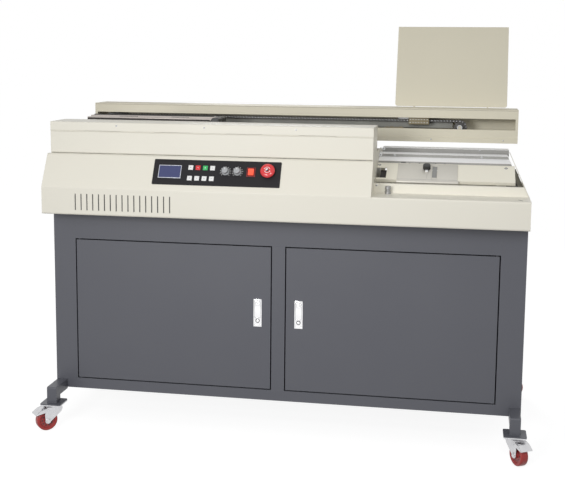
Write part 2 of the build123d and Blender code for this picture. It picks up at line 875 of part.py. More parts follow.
def side_covers():
    """Plates that close the casing's left and right ends, and its vented back."""
    s = casing_sheet
    right_back_top = apron_top + right_back_rise
    inset = slope_inset
    bend = bend_radius
    foot = [
        (cabinet_back - s, cabinet_top),
        (cabinet_front - running_gap, cabinet_top),
        (cabinet_front - running_gap, apron_bottom + s),
        (apron_front + s + bend, apron_bottom + s),
        (apron_front + s, apron_bottom + s + bend),
    ]
    left = [
        *foot,
        (apron_front + s, apron_top - bend),
        (apron_front + inset + bend, apron_top + bend),
        (hood_front + inset, flap_bottom - seam_gap - s),
        (cabinet_back - s, flap_bottom - seam_gap - s),
    ]
    right = [
        *foot,
        (apron_front + s, apron_top - s - bend),
        (apron_front + s + bend, apron_top - s),
        (cabinet_back - s, apron_top - s),
    ]
    left_plate = along_x(left, -half_width, -half_width + s)
    right_plate = along_x(right, half_width - s, half_width)
    lean = math.cos(math.atan(cheek_lean))
    crest = [
        (cabinet_front + lip_reach + s, lip_top),
        (cabinet_front + table_back, table_back_height),
        (cabinet_front + nip_line, front_bar_high),
        (cabinet_front + nip_line + rear_bar_depth + cheek_crest, front_bar_high),
        (cabinet_back, right_back_top),
    ]
    outline = [
        (cabinet_front + lip_reach + s, 0),
        *[(y, (z - apron_top) / lean) for y, z in crest],
        (cabinet_back, 0),
    ]
    cheek = cheek_plane() * extrude(make_face(Polyline(*outline, close=True)), amount=-s)
    cheek += along_x(
        [
            (cabinet_front + lip_reach + s, apron_top - s),
            (cabinet_front + lip_reach + s, apron_top),
            (cabinet_back, apron_top),
            (cabinet_back, apron_top - s),
        ],
        half_width - s,
        half_width,
    )
    right_plate += cheek
    y = (cabinet_back - s, cabinet_back)
    back = block((-half_width, console_right), y, (cabinet_top, flap_bottom - back_drop))
    back_right = half_width - (right_back_rise * cheek_lean + s)
    back += block((console_right, back_right), y, (cabinet_top, right_back_top))
    slots = []
    z = (deck_top + vent_rise, deck_top + vent_rise + vent_height)
    for first in vent_places:
        for i in range(vent_count):
            x = first + i * vent_pitch
            slots.append(block((x, x + vent_width), y, z))
    lead = rod((gland_place, y[0], gland_height), (0, 1, 0), gland_bore, s)
    return [left_plate, right_plate, back - slots - lead, gland()]


def gland():
    """The gland that a mains lead comes in through: a hexagon and a domed nut, with its bore."""
    body = extrude(RegularPolygon(gland_radius, 6, major_radius=False), amount=gland_flange)
    nut = Pos(0, 0, gland_flange) * extrude(Circle(gland_nut), amount=gland_length - gland_flange)
    nut = fillet(nut.edges().group_by(Axis.Z)[-1], gland_radius / 3)
    bore = extrude(Circle(gland_bore), amount=gland_length)
    place = Plane(origin=(gland_place, cabinet_back, gland_height), x_dir=(1, 0, 0), z_dir=(0, 1, 0))
    return place * (body + nut - bore)


def machine_deck():
    """The deck over the cabinet, with the posts that carry the beam and the station's brackets."""
    s = casing_sheet + running_gap
    deck = block(
        (-half_width + s, half_width - s), (apron_front + s, cabinet_back - s), (cabinet_top, deck_top)
    )
    posts = [
        *beam_post(-half_width + left_post_inset),
        *beam_post(console_right - right_post_inset),
    ]
    brackets = []
    front = cabinet_front + table_front + bracket_inset
    back = cabinet_front + table_back - bracket_inset / 2
    nip_back = cabinet_front + nip_line + rear_bar_depth
    for x in (console_right + left_bracket_inset, half_width - right_bracket_inset):
        outline = [
            (front, deck_top),
            (front, table_front_height - table_sheet - 1),
            (back, table_back_height - table_sheet - bracket_inset * 0.4),
            (back, nip_bed_bottom),
            (nip_back, nip_bed_bottom),
            (nip_back, deck_top),
        ]
        brackets.append(along_x(outline, x - bracket_sheet / 2, x + bracket_sheet / 2))
    return [deck, *posts, *brackets]


def beam_post(place):
    """A post welded from plates: a web at the front, two flanges behind it and a cap."""
    middle = beam_front + beam_depth / 2
    wall = beam_post_sheet
    x = (place - beam_post_width / 2, place + beam_post_width / 2)
    y = (middle - beam_post_depth / 2, middle + beam_post_depth / 2)
    z = (deck_top, beam_bottom - wall)
    flange = (y[0] + wall, y[1])
    return [
        block(x, y, (z[1], beam_bottom)),
        block(x, (y[0], flange[0]), z),
        block((x[0], x[0] + wall), flange, z),
        block((x[1] - wall, x[1]), flange, z),
    ]


def hood_end_outline():
    """The hood's end, inside its top cover and behind the console."""
    s = casing_sheet
    inset = slope_inset
    back = hood_back - s
    return [
        (back, deck_top),
        (apron_front + inset + 3, deck_top),
        (apron_front + inset + 3, apron_top),
        (hood_front + inset, flap_bottom - seam_gap - s),
        (hood_front + inset, hood_top - s),
        (back, hood_top - s),
    ]


def hood_frame():
    """The fixed hood: top cover with its rear drop, end panels, and the fixed hinge knuckles."""
    top = [
        (hood_back, hood_top - hood_rear_drop),
        (hood_back, hood_top),
        (hood_front, hood_top),
        (hood_front, seam_height + hinge_room),
    ]
    s = casing_sheet
    sill = flap_bottom - seam_gap
    y = (hood_front, hood_front + console_return + 1)
    slot = block((-half_width, console_right), y, (sill - s, sill + running_gap))
    left_end = along_x(hood_end_outline(), hood_left, hood_left + s) - slot
    right_end = along_x(hood_end_outline(), console_right - s, console_right) - slot
    trench_back = cabinet_front + nip_line + rear_bar_depth + trench_end
    trench = block(
        (console_right - s, console_right), (hood_back - s, trench_back), (deck_top, jaw_low - trench_drop)
    )
    solids = [bent_sheet(top, s, hood_left, console_right), left_end, right_end, trench]
    solids += hinge_knuckles(0)
    y, z = flap_axis()
    length = console_right - hood_left
    solids.append(rod((hood_left, y, z), (1, 0, 0), hinge_pin, length))
    return solids


def flap_axis():
    return hood_front + hinge_knuckle_radius, seam_height


def hinge_knuckles(first):
    """Every second knuckle of the flap's long hinge, with the leaf that joins it to its sheet."""
    y, z = flap_axis()
    pitch = (console_right - hood_left) / knuckle_count
    knuckles = []
    for i in range(first, knuckle_count, 2):
        low = hood_left + i * pitch + running_gap / 2
        length = pitch - running_gap
        knuckle = rod((low, y, z), (1, 0, 0), hinge_knuckle_radius, length)
        side, room = (1, hinge_room) if first == 0 else (-1, seam_gap / 2)
        leaf = sorted((z, z + side * (room + leaf_lap)))
        inside = hood_front + casing_sheet
        knuckle += block((low, low + length), (inside - hinge_leaf, inside), leaf)
        knuckle -= rod((low, y, z), (1, 0, 0), hinge_pin + (bore_gap if first else 0), length)
        knuckles.append(knuckle)
    return knuckles


def hood_flap():
    """The hinged front flap, folded at its bottom edge."""
    s = casing_sheet
    line = [
        (hood_front, seam_height - seam_gap / 2),
        (hood_front, flap_bottom),
        (hood_front + flap_return, flap_bottom),
    ]
    flap = bent_sheet(line, s, hood_left + running_gap, console_right - running_gap)
    for knuckle in hinge_knuckles(1):
        flap += knuckle
    half = s / 2 + running_gap
    y = (hood_front + s, hood_front + flap_return)
    z = (flap_bottom, flap_bottom + s + bend_radius)
    for edge in (hood_left + s / 2, console_right - s / 2):
        flap -= block((edge - half, edge + half), y, z)
    return flap


# ---------------------------------------------------------------- control panel
def control_panel():
    """A plate on the console, with holes for its controls."""
    plate = on_slope(console, (panel_left, panel_right), (panel_low, panel_high), 0, panel_thickness)
    corners = plate.edges().filter_by(lambda e: abs(e.length - panel_thickness) < 0.01)
    plate = fillet(corners, panel_corner)
    keys, knobs = panel_controls()
    holes = []
    for x, s in keys:
        half = key_size / 2 + running_gap
        holes.append(on_slope(console, (x - half, x + half), (s - half, s + half), -1, 3))
    for x, s in knobs:
        holes.append(console * Pos(x, s, 1) * Cylinder(knob_shaft_radius + bore_gap, 4))
    w, h = (v / 2 - rocker_rim - 0.5 for v in rocker_size)
    holes.append(
        on_slope(console, (rocker_place - w, rocker_place + w), (knob_row - h, knob_row + h), -1, 3)
    )
    holes.append(console * Pos(*stop_place, 1) * Cylinder(stop_stem_radius + bore_gap, 4))
    opening = screen_frame + 1
    holes.append(
        on_slope(
            console,
            (screen_left + opening, screen_right - opening),
            (screen_low + opening, screen_high - opening),
            -1,
            3,
        )
    )
    return plate - holes


def screen():
    """The display: a bezel standing on the panel, a sunk window, and its case behind."""
    t = panel_thickness
    bezel = screen_block(0, t, t + screen_bezel) - screen_block(screen_frame, t, t + screen_bezel)
    glass = screen_block(screen_frame, t, t + screen_glass)
    glass += screen_block(screen_frame + screen_step, t - screen_step, t)
    return bezel + glass + screen_block(screen_frame + screen_step, -screen_depth, t - screen_step)


def screen_block(inset, low, high):
    """A block of the display's outline, this far inside it, between two heights over the console."""
    x = (screen_left + inset, screen_right - inset)
    return on_slope(console, x, (screen_low + inset, screen_high - inset), low, high)


def key(x, s):
    """A square key cap with its top edges broken."""
    top = panel_thickness + key_height
    half = key_size / 2
    cap = block((-half, half), (-half, half), (-key_depth, top))
    cap = chamfer(cap.faces().sort_by(Axis.Z)[-1].edges(), key_height * 0.7)
    return console * Pos(x, s, 0) * cap


def knob(x, s):
    """A skirted pointer knob on its shaft."""
    base = panel_thickness + running_gap
    body = Pos(0, 0, base + knob_skirt / 2) * Cylinder(knob_radius, knob_skirt)
    waist, top = knob_radius - knob_skirt / 2, knob_radius - knob_skirt
    body += Pos(0, 0, base + knob_height / 2) * Cone(waist, top, knob_height)
    body += Pos(0, 0, base + (knob_height + 1) / 2) * Box(knob_skirt, 2 * top, knob_height + 1)
    body += Pos(0, 0, base - knob_shaft / 2) * Cylinder(knob_shaft_radius, knob_shaft)
    return console * Pos(x, s, 0) * body


def rocker_axis():
    return panel_thickness + rocker_height / 2 - 1.0


def rocker():
    """The rocker's dished cap, on two short pins."""
    inside = rocker_rim + 1.0
    w, h = (v / 2 - inside for v in rocker_size)
    low, high = panel_thickness + running_gap, panel_thickness + rocker_height
    flat = h * 0.3
    outline = [
        (-h, low),
        (-h, high),
        (-flat, high - rocker_dish),
        (flat, high - rocker_dish),
        (h, high),
        (h, low),
    ]
    cap = extrude(Plane.YZ.offset(-w) * make_face(Polyline(*outline, close=True)), amount=2 * w)
    pin = w + 1.0 - running_gap
    cap += rod((-pin, 0, rocker_axis()), (1, 0, 0), rocker_pin_radius, 2 * pin)
    return console * Pos(rocker_place, knob_row, 0) * cap


def rocker_frame():
    """The rocker's bezel, standing on the panel."""
    w, h = (v / 2 for v in rocker_size)
    bezel = Pos(0, 0, panel_thickness + 1) * Box(2 * w, 2 * h, 2)
    bezel -= Pos(0, 0, panel_thickness + 1) * Box(2 * (w - rocker_rim), 2 * (h - rocker_rim), 2)
    return console * Pos(rocker_place, knob_row, 0) * bezel


def stop_button():
    """A mushroom head on its stem."""
    under = panel_thickness + stop_height - stop_head
    head = Pos(0, 0, under) * extrude(Circle(stop_radius), amount=stop_head)
    head = fillet(head.edges().sort_by(Axis.Z)[-1], stop_head * 0.6)
    low = -stop_travel - stop_tail
    stem = Pos(0, 0, low) * extrude(Circle(stop_stem_radius), amount=under - low)
    return console * Pos(*stop_place, 0) * (head + stem)


# ---------------------------------------------------------------- beam
def beam():
    """A box welded from plates, open at the front along its slot, with a skirt and stub axles."""
    t = beam_sheet
    x = (-beam_half + t, beam_half - t)
    y = (beam_front, beam_back)
    inside = (beam_bottom + t, beam_top - t)
    front = (beam_front, beam_front + t)
    plates = [
        block(x, y, (beam_top - t, beam_top)),
        block(x, y, (beam_bottom, beam_bottom + t)),
        block(x, (beam_back - t, beam_back), inside),
        block(x, front, (beam_bottom + t, slot_low)),
        block(x, front, (slot_high, beam_top - t)),
    ]
    for side in (-1, 1):
        end = sorted((side * x[1], side * beam_half))
        plates.append(block(end, y, (beam_bottom, beam_top)))
        stile = sorted((side * (beam_half - slot_end), side * x[1]))
        plates.append(block(stile, front, (slot_low, slot_high)))
    skirt = block((-beam_half, beam_half), (beam_front - skirt_sheet, beam_front), skirt_edges())
    start = chain_plane - sprocket_width / 2 - axle_proud
    idler_axle = rod(
        (idler_place, start, sprocket_height), (0, 1, 0), sprocket_axle_radius, beam_back - t - start
    )
    return [*plates, skirt, idler_axle]


def skirt_edges():
    low = beam_bottom - skirt_drop
    return low, low + skirt_height


def rail():
    """The carriage's rail on its web, along the beam's back."""
    low, high = arm_left - rail_overrun, arm_left + arm_length + clamp_travel + rail_overrun
    front = beam_front + rail_back
    z = rail_middle
    bar = block((low, high), (front, front + rail_width), (z - rail_height / 2, z + rail_height / 2))
    half_web = rail_web / 2
    web = block((low, high), (front + rail_width, beam_back - beam_sheet), (z - half_web, z + half_web))
    return bar + web


def sprocket(x, first_angle):
    """A toothed wheel with a hub, turning on a stub axle."""
    step = 360 / sprocket_teeth
    outline = Circle(sprocket_radius)
    seat = Circle(roller_radius + seat_gap)
    grow = roller_radius + seat_gap
    far, wide = chain_pitch * 0.8, grow * 2.2
    mouth = make_face(Polyline((0, -grow), (far, -wide), (far, wide), (0, grow), close=True))
    for i in range(sprocket_teeth):
        outline -= Rot(0, 0, first_angle + i * step) * Pos(pitch_radius, 0) * (seat + mouth)
    body = extrude(outline, amount=sprocket_width / 2, both=True)
    body += Cylinder(sprocket_hub_radius, sprocket_hub_width)
    body -= Cylinder(sprocket_axle_radius + bore_gap, 4 * sprocket_width)
    place = Plane(origin=(x, chain_plane, sprocket_height), x_dir=(1, 0, 0), z_dir=(0, -1, 0))
    return place * body


def round_sprocket(x, angle):
    """A point on a sprocket's pitch circle."""
    return x + pitch_radius * math.cos(angle), sprocket_height + pitch_radius * math.sin(angle)


def chain_point(step):
    """Where a roller sits after a number of pitches round the loop from the idler's top."""
    wrap = sprocket_teeth / 2
    step = step % chain_links
    turn = 2 * math.pi / sprocket_teeth
    if step <= wrap:
        return round_sprocket(idler_place, math.pi / 2 - step * turn)
    step -= wrap
    if step <= run_pitches:
        return idler_place - step * chain_pitch, sprocket_height - pitch_radius
    step -= run_pitches
    if step <= wrap:
        return round_sprocket(drive_place, -math.pi / 2 - step * turn)
    step -= wrap
    return drive_place + step * chain_pitch, sprocket_height + pitch_radius


def link_outline(a, b):
    """One side plate, as an eight-sided outline round two rollers."""
    length = math.dist(a, b)
    ux, uz = (b[0] - a[0]) / length, (b[1] - a[1]) / length
    h = plate_height / 2
    c = h * 0.45
    corners = [
        (-h, -c), (-c, -h), (length + c, -h), (length + h, -c),
        (length + h, c), (length + c, h), (-c, h), (-h, c),
    ]
    return [(a[0] + u * ux - v * uz, a[1] + u * uz + v * ux) for u, v in corners]


def in_full(step):
    """Whether a link is made in full: round the idler, and along the upper run beside it."""
    x, z = chain_point(step)
    return x > idler_place - chain_detail and (z > sprocket_height or x > idler_place - chain_pitch)


def chain():
    """A roller chain: links in full at the idler, plain strips along the rest."""
    inner = sprocket_width / 2 + plate_gap
    plates = []
    whole = [i for i in range(chain_links) if in_full(i)]
    for i in whole:
        outline = link_outline(chain_point(i), chain_point(i + 1))
        low = inner if i % 2 else inner + plate_thickness
        for side in (-1, 1):
            edge = sorted((side * low, side * (low + plate_thickness)))
            plates.append(along_y(outline, chain_plane + edge[0], chain_plane + edge[1]))
    rollers = []
    for i in range(chain_links):
        x, z = chain_point(i)
        near = min(math.dist((x, z), (c, sprocket_height)) for c in (drive_place, idler_place))
        if i in whole or near < pitch_radius + 2 * chain_pitch:
            reach = inner + 2 * plate_thickness + roller_pin_end
            rollers.append(rod((x, chain_plane - reach, z), (0, 1, 0), roller_pin_radius, 2 * reach))
            rollers.append(rod((x, chain_plane - inner, z), (0, 1, 0), roller_radius, 2 * inner))
    return [*plates, *rollers, *chain_strips()]


def chain_strips():
    """The plain lengths: both side strips of the upper run, the lower run and the drive's wrap."""
    h = plate_height / 2
    inner = sprocket_width / 2 + plate_gap
    strips = []
    for side in (-1, 1):
        y = sorted((chain_plane + side * inner, chain_plane + side * (inner + plate_thickness)))
        run = (drive_place, idler_place - chain_detail)
        for z in (sprocket_height + pitch_radius, sprocket_height - pitch_radius):
            right = run[1] if z > sprocket_height else idler_place
            strips.append(block((run[0], right), y, (z - h, z + h)))
        ring = Circle(pitch_radius + h) - Circle(pitch_radius - h)
        ring -= Pos(sprocket_radius * 2, 0) * Rectangle(sprocket_radius * 4, sprocket_radius * 4)
        place = Plane(origin=(drive_place, y[1], sprocket_height), x_dir=(1, 0, 0), z_dir=(0, -1, 0))
        strips.append(place * extrude(ring, amount=plate_thickness))
    return strips


def chain_guides():
    """A moulded guide, open below, and a nylon shoe over the upper run, hung from the beam's top."""
    top = beam_top - beam_sheet
    run = sprocket_height + pitch_radius
    right = idler_place - guide_inset
    left = right - guide_length
    over = run + plate_height / 2 + 0.5
    half, channel, inset = guide_width / 2, guide_channel / 2, hanger_inset
    low, high = run - guide_depth, run + guide_depth
    guide = block((left, right), (chain_plane - half, chain_plane + half), (low, high))
    guide -= block((left, right), (chain_plane - channel, chain_plane + channel), (low, over))
    hanger = (chain_plane - half, chain_plane - half + hanger_sheet)
    guide += block((left + inset, right - inset), hanger, (high, top))
    for x in (left + inset, (left + right) / 2, right - inset):
        guide -= rod((x, chain_plane - half, run), (0, 1, 0), guide_screw_radius, half)
    shoe_left = left - shoe_length
    half = shoe_width / 2
    shoe = block((shoe_left, left), (chain_plane - half, chain_plane + half), (over, high))
    hanger = (chain_plane - half, chain_plane - half + hanger_sheet)
    shoe += block((shoe_left + inset, left - inset), hanger, (high, top))
    return [guide, shoe]


# ---------------------------------------------------------------- clamp
def jaw_outline_end(y):
    """The clamp's slanted right end, cut from a jaw."""
    right = clamp_left + clamp_length + clamp_end_length
    corner = [(right - jaw_slant, jaw_low), (right + 1, jaw_low), (right + 1, jaw_top), (right, jaw_top)]
    return along_y(corner, *y)


def jaw(y):
    """A jaw: a long channel, open below between its solid ends, and slanted at the right."""
    right = clamp_left + clamp_length + clamp_end_length
    body = block((clamp_left, right), y, (jaw_low, jaw_top)) - jaw_outline_end(y)
    wall = jaw_plate + 4
    x = (clamp_left + jaw_left_end, right - jaw_right_end)
    return body - block(x, (y[0] + wall, y[1] - wall), (jaw_low, jaw_top - jaw_plate))


def jaw_edges(front):
    if front:
        return clamp_line - jaw_gap / 2 - jaw_depth, clamp_line - jaw_gap / 2
    return clamp_line + jaw_gap / 2, clamp_line + jaw_gap / 2 + jaw_depth


def rod_places():
    return clamp_left + jaw_left_end / 2, clamp_left + clamp_length - rod_inset


def front_jaw():
    """The moving jaw, with the two rods that guide it through the rear jaw."""
    y = jaw_edges(True)
    body = jaw(y)
    reach = jaw_edges(False)[1] + jaw_travel + 3
    for x in rod_places():
        body += rod((x, y[1] - 1, rod_height), (0, 1, 0), jaw_rod_radius, reach - y[1] + 1)
    return body


def carriage():
    """The rear jaw, its arm through the beam's slot, and the slider on the rail."""
    y = jaw_edges(False)
    body = jaw(y)
    for x in rod_places():
        body -= rod((x, y[0] - 1, rod_height), (0, 1, 0), jaw_rod_radius + bore_gap, jaw_depth + 2)
    right = arm_left + arm_length
    front = beam_front + rail_back
    z = (arm_bottom, arm_bottom + arm_thickness)
    gap = running_gap
    middle = rail_middle
    half = rail_height / 2 + gap
    half_web = rail_web / 2 + gap
    arm = block((arm_left, right), (y[1] - 1, front - 2), z)
    x, back = (arm_left, right), front + rail_width
    wall = slider_wall
    slider = block(x, (front - wall - 3, back + wall), (middle - half - wall, middle + half + wall))
    slider -= block(x, (front - gap, back + gap), (middle - half, middle + half))
    slider -= block(x, (front, back + wall), (middle - half_web, middle + half_web))
    run_low = sprocket_height + pitch_radius - plate_height / 2
    lug_left, half_lug = arm_left + lug_length, lug_width / 2
    y = (chain_plane - half_lug, chain_plane + half_lug)
    lug = block((lug_left, lug_left + lug_length), y, (z[1], run_low - gap))
    return body + arm + slider + lug


# ---------------------------------------------------------------- cover station
def cover_table():
    """The sloping table: a folded plate with a slot for the gauge and a notch at its left."""
    t = table_sheet
    length = math.dist((table_front, table_front_height), (table_back, table_back_height))
    table_right = half_width - table_end_inset
    plate = on_slope(table, (table_left, table_right), (0, length), -t, 0)
    plate += on_slope(table, (table_left, table_right), (0, t), -table_flange, 0)
    notch = (table_left, table_left + notch_width)
    plate -= on_slope(table, notch, (notch_low, notch_high), -t - 1, 1)
    x, s = gauge_knob_place
    slot = on_slope(
        table,
        (x + gauge_travel[0] - gauge_slot, x + gauge_travel[1] + gauge_slot),
        (s - gauge_slot / 2, s + gauge_slot / 2),
        -t - 1,
        1,
    )
    return plate - slot - beyond_cheek(1.0)


def gauge():
    """The sliding gauge: a plate that hooks over the table's front edge, and its stud."""
    t = gauge_sheet
    gauge_right = gauge_left + gauge_width
    low = running_gap / 10
    plate = on_slope(table, (gauge_left, gauge_right), (-t - running_gap, gauge_high), low, low + t)
    plate += on_slope(
        table, (gauge_left, gauge_right), (-t - running_gap, -running_gap), -gauge_flange, low + t
    )
    window_left = gauge_left + window_inset
    plate -= on_slope(
        table, (window_left, window_left + window_width), (window_low, window_high), low - 1, low + t + 1
    )
    x, s = gauge_knob_place
    under = -table_sheet - running_gap
    stud = Pos(0, 0, under) * extrude(Circle(gauge_stud_radius), amount=gauge_knob_height)
    foot = Pos(0, 0, under) * extrude(Circle(gauge_foot_radius), amount=-gauge_foot)
    return plate + table * Pos(x, s, 0) * (stud + foot)


def gauge_knob():
    x, s = gauge_knob_place
    low = gauge_sheet + running_gap
    body = Pos(0, 0, low + gauge_knob_height / 2) * Cylinder(gauge_knob_radius, gauge_knob_height)
    body = chamfer(body.edges().sort_by(Axis.Z)[-1], rim_chamfer)
    body -= Cylinder(gauge_stud_radius + bore_gap, 3 * gauge_knob_height)
    return table * Pos(x, s, 0) * body


def nip_bars():
    """The fixed rear nip bar on the bed that both bars share."""
    y = cabinet_front + nip_line
    bed = block(
        nip_ends(), (cabinet_front + table_back - 4, y + rear_bar_depth), (nip_bed_bottom, nip_bar_bottom)
    )
    bed -= beyond_cheek(1.0)
    rear_bar_top = nip_bar_bottom + rear_bar_height
    wall = rear_bar_wall
    rear = block((rear_bar_left, rear_bar_right), (y, y + rear_bar_depth), (nip_bar_bottom, rear_bar_top))
    rear -= block(
        (rear_bar_left + rear_bar_end, rear_bar_right - rear_bar_end),
        (y + wall, y + rear_bar_depth - wall),
        (nip_bar_bottom, rear_bar_top - wall),
    )
    return bed + rear


def nip_ends():
    return console_right + station_gap, half_width - nip_end_inset


def front_nip_bar():
    """The sliding front bar, stepped up towards the nip."""
    y = cabinet_front + nip_line - nip_gap
    front = cabinet_front + table_back + table_sheet * math.sin(math.radians(table_slope)) + running_gap
    step = cabinet_front + nip_step
    low = nip_bar_bottom + running_gap / 10
    heights = [nip_bar_bottom + rise for rise in front_bar_rises]
    outline = [
        (front, low),
        (front, heights[0]),
        (step, heights[1]),
        (step, heights[2]),
        (y, heights[3]),
        (y, low),
    ]
    return along_x(outline, *nip_ends()) - beyond_cheek(1.0)


def plunger():
    """The round knob of the station's catch, through the ledge."""
    below = plunger_travel + plunger_tail
    start = (plunger_place, plunger_line, apron_top - below)
    body = rod(start, (0, 0, 1), plunger_radius, plunger_height + below)
    return chamfer(body.edges().sort_by(Axis.Z)[-1], rim_chamfer)


def cover_tray():
    """The leaning sheet that feeds covers from behind the beam, on two gussets."""
    lean = math.radians(tray_lean)
    foot_y = beam_back + tray_gap
    tray_foot = beam_top + tray_rise
    width = tray_width
    plane = Plane(
        origin=(tray_right - width / 2, foot_y, tray_foot),
        x_dir=(1, 0, 0),
        z_dir=(0, -math.cos(lean), math.sin(lean)),
    )
    length = tray_height / math.cos(lean)
    sheet = plane * Pos(0, length / 2, -tray_sheet / 2) * Box(width, length, tray_sheet)
    corners = sheet.edges().filter_by(lambda e: abs(e.length - tray_sheet) < 0.01).sort_by(Axis.Z)
    sheet = fillet(corners[:2], tray_corner)
    for side in (-1, 1):
        place = Pos(side * (width - tray_sheet) / 2, length / 2 + tray_corner, -tray_flange / 2)
        sheet += plane * place * Box(tray_sheet, length - 2 * tray_corner, tray_flange)
    top = plane * Pos(0, length - tray_sheet / 2, -tray_flange / 2) * Box(width, tray_sheet, tray_flange)
    sheet += top
    start = foot_y + tray_sheet
    gusset = [
        (beam_back, beam_top - gusset_drop),
        (beam_back, beam_top - tray_gap),
        (start, tray_foot),
        (start + gusset_rise * math.tan(lean), tray_foot + gusset_rise),
        (start + gusset_foot, tray_foot - gusset_foot * 0.6),
    ]
    for x in (tray_right - width + gusset_inset, tray_right - gusset_inset):
        sheet += along_x(gusset, x - gusset_sheet / 2, x + gusset_sheet / 2)
    return sheet


# ---------------------------------------------------------------- glue and milling units
def glue_tank():
    """A cast tank on two feet, with bearings for its roller."""
    x = (tank_left, tank_left + tank_length)
    y = (clamp_line - tank_depth / 2, clamp_line + tank_depth / 2)
    z = (tank_top - tank_height, tank_top)
    w = tank_wall
    tank = block(x, y, z)
    tank -= block((x[0] + w, x[1] - w), (y[0] + w, y[1] - w), (z[0] + w, z[1]))
    half = tank_foot / 2
    for foot in (x[0] + tank_foot, x[1] - tank_foot):
        tank += block((foot - half, foot + half), (y[0] + half, y[1] - half), (deck_top, z[0]))
    middle, height = roller_axis()
    for start in (y[0], y[1] - w):
        tank += rod((middle, start, height), (0, 1, 0), glue_shaft_radius + bearing_wall, w)
    tank -= rod((middle, y[0] - w, height), (0, 1, 0), glue_shaft_radius + bore_gap, tank_depth + 2 * w)
    return tank


def roller_axis():
    return tank_left + tank_length / 2, tank_top - glue_roller_radius + glue_roller_rise


def glue_roller():
    x, z = roller_axis()
    half, reach = glue_roller_length / 2, tank_depth / 2 + glue_shaft_end
    shaft = rod((x, clamp_line - reach, z), (0, 1, 0), glue_shaft_radius, 2 * reach)
    return shaft + rod((x, clamp_line - half, z), (0, 1, 0), glue_roller_radius, 2 * half)


def motors():
    """The milling motor on its base, and the gear motor that turns the drive sprocket."""
    top = cutter_top - cutter_thickness - running_gap
    body_top = top - motor_nose
    base_top = deck_top + motor_base
    half = motor_radius + motor_base
    x, y = cutter_place, clamp_line
    motor = block((x - half, x + half), (y - half, y + half), (deck_top, base_top))
    motor += rod((x, y, base_top), (0, 0, 1), motor_radius, body_top - base_top)
    motor += rod((x, y, body_top), (0, 0, 1), 2 * spindle_radius, motor_nose)
    depth = spindle_length + motor_base
    bore = rod((x, y, cutter_top - cutter_thickness - depth), (0, 0, 1), spindle_radius + bore_gap, depth)
    return [motor - bore, gear_motor()]


def gear_motor():
    """A gear case on the beam's back plate, its motor on top, with the drive sprocket's shaft."""
    back = beam_back - beam_sheet
    front = chain_plane + sprocket_width / 2 + gear_gap
    right = arm_left - rail_overrun - 1
    length, height = gear_case
    low = beam_bottom + beam_sheet + gear_rise
    case = block((right - length, right), (front, back), (low, low + height))
    room = beam_top - beam_sheet - 4 - low - height
    case += rod((right - length / 2, (front + back) / 2, low + height), (0, 0, 1), length * 0.4, room)
    start = chain_plane - sprocket_width / 2 - axle_proud
    return case + rod((drive_place, start, sprocket_height), (0, 1, 0), sprocket_axle_radius, front - start)


def cutter():
    """A milling disc with tips round its rim, on its spindle."""
    z = cutter_top - cutter_thickness
    disc = rod((0, 0, 0), (0, 0, 1), cutter_radius, cutter_thickness)
    for i in range(cutter_teeth):
        tip = Pos(cutter_radius - 2, 0, cutter_thickness / 2 + 1) * Box(*cutter_tip, cutter_thickness)
        disc += Rot(0, 0, i * 360 / cutter_teeth) * tip
    disc += rod((0, 0, -spindle_length), (0, 0, 1), spindle_radius, spindle_length)
    return Pos(cutter_place, clamp_line, z) * disc


# ---------------------------------------------------------------- files
def casters():
    """The four casters: turning fork and wheel each, and a brake pedal on the front two."""
    nodes = {}
    corners = {
        "left_front": (-1, -1, left_front_turn),
        "right_front": (1, -1, right_front_turn),
        "left_rear": (-1, 1, left_rear_turn),
        "right_rear": (1, 1, right_rear_turn),
    }
    for name, (side, end, turn) in corners.items():
        place = caster_place(side, end, turn)
        nodes["fork_" + name] = place * fork()
        nodes["wheel_" + name] = place * wheel()
        if end < 0:
            nodes["pedal_" + name] = place * pedal()
    return nodes


def all_nodes():
    nodes = {
        "cabinet_frame": cabinet_frame(),
        "cabinet_shell": cabinet_shell(),
        "legs": legs(),
        "caster_plates": caster_plates(),
        "front_cover": front_cover(),
        "side_covers": side_covers(),
        "machine_deck": machine_deck(),
        "hood_frame": hood_frame(),
        "hood_flap": hood_flap(),
        "control_panel": [control_panel(), rocker_frame()],
        "screen": screen(),
        "beam": beam(),
        "rail": rail(),
        "chain": chain(),
        "chain_guides": chain_guides(),
        "nip_bed": nip_bars(),
        "front_nip_bar": front_nip_bar(),
        "cover_table": cover_table(),
        "gauge": gauge(),
        "gauge_knob": gauge_knob(),
        "plunger": plunger(),
        "cover_tray": cover_tray(),
        "glue_tank": glue_tank(),
        "glue_roller": glue_roller(),
        "motors": motors(),
        "cutter": cutter(),
        "carriage": carriage(),
        "front_jaw": front_jaw(),
        "drive_sprocket": sprocket(drive_place, -90),
        "idler_sprocket": sprocket(idler_place, 90),
        "rocker": rocker(),
        "stop_button": stop_button(),
    }
    for side in ("left", "right"):
        nodes["door_" + side] = door(side)
        nodes["latch_case_" + side] = latch_case(side)
        nodes["latch_lever_" + side] = latch_lever(side)
        nodes["latch_button_" + side] = latch_button(side)
    keys, knobs = panel_controls()
    for i, (x, s) in enumerate(keys):
        nodes[f"key_{i + 1}"] = key(x, s)
    for i, (x, s) in enumerate(knobs):
        nodes[f"knob_{i + 1}"] = knob(x, s)
    nodes.update(casters())
    return nodes


os.makedirs("parts", exist_ok=True)
for node, shape in all_nodes().items():
    solids = shape if isinstance(shape, list) else [shape]
    whole = Compound(children=[s for item in solids for s in item.solids()])
    export_step(whole, f"parts/{node}.step")
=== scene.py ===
# %% [markdown]
# # A thermal binding machine
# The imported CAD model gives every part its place. This lesson adds the finishes, the small
# hardware and the light. All sizes are in metres, in the CAD's frame: X along the machine,
# -Y towards the operator and Z up from the floor.

# %% Load the frame
import json
import math

import bmesh
import bpy
from mathutils import Matrix, Vector


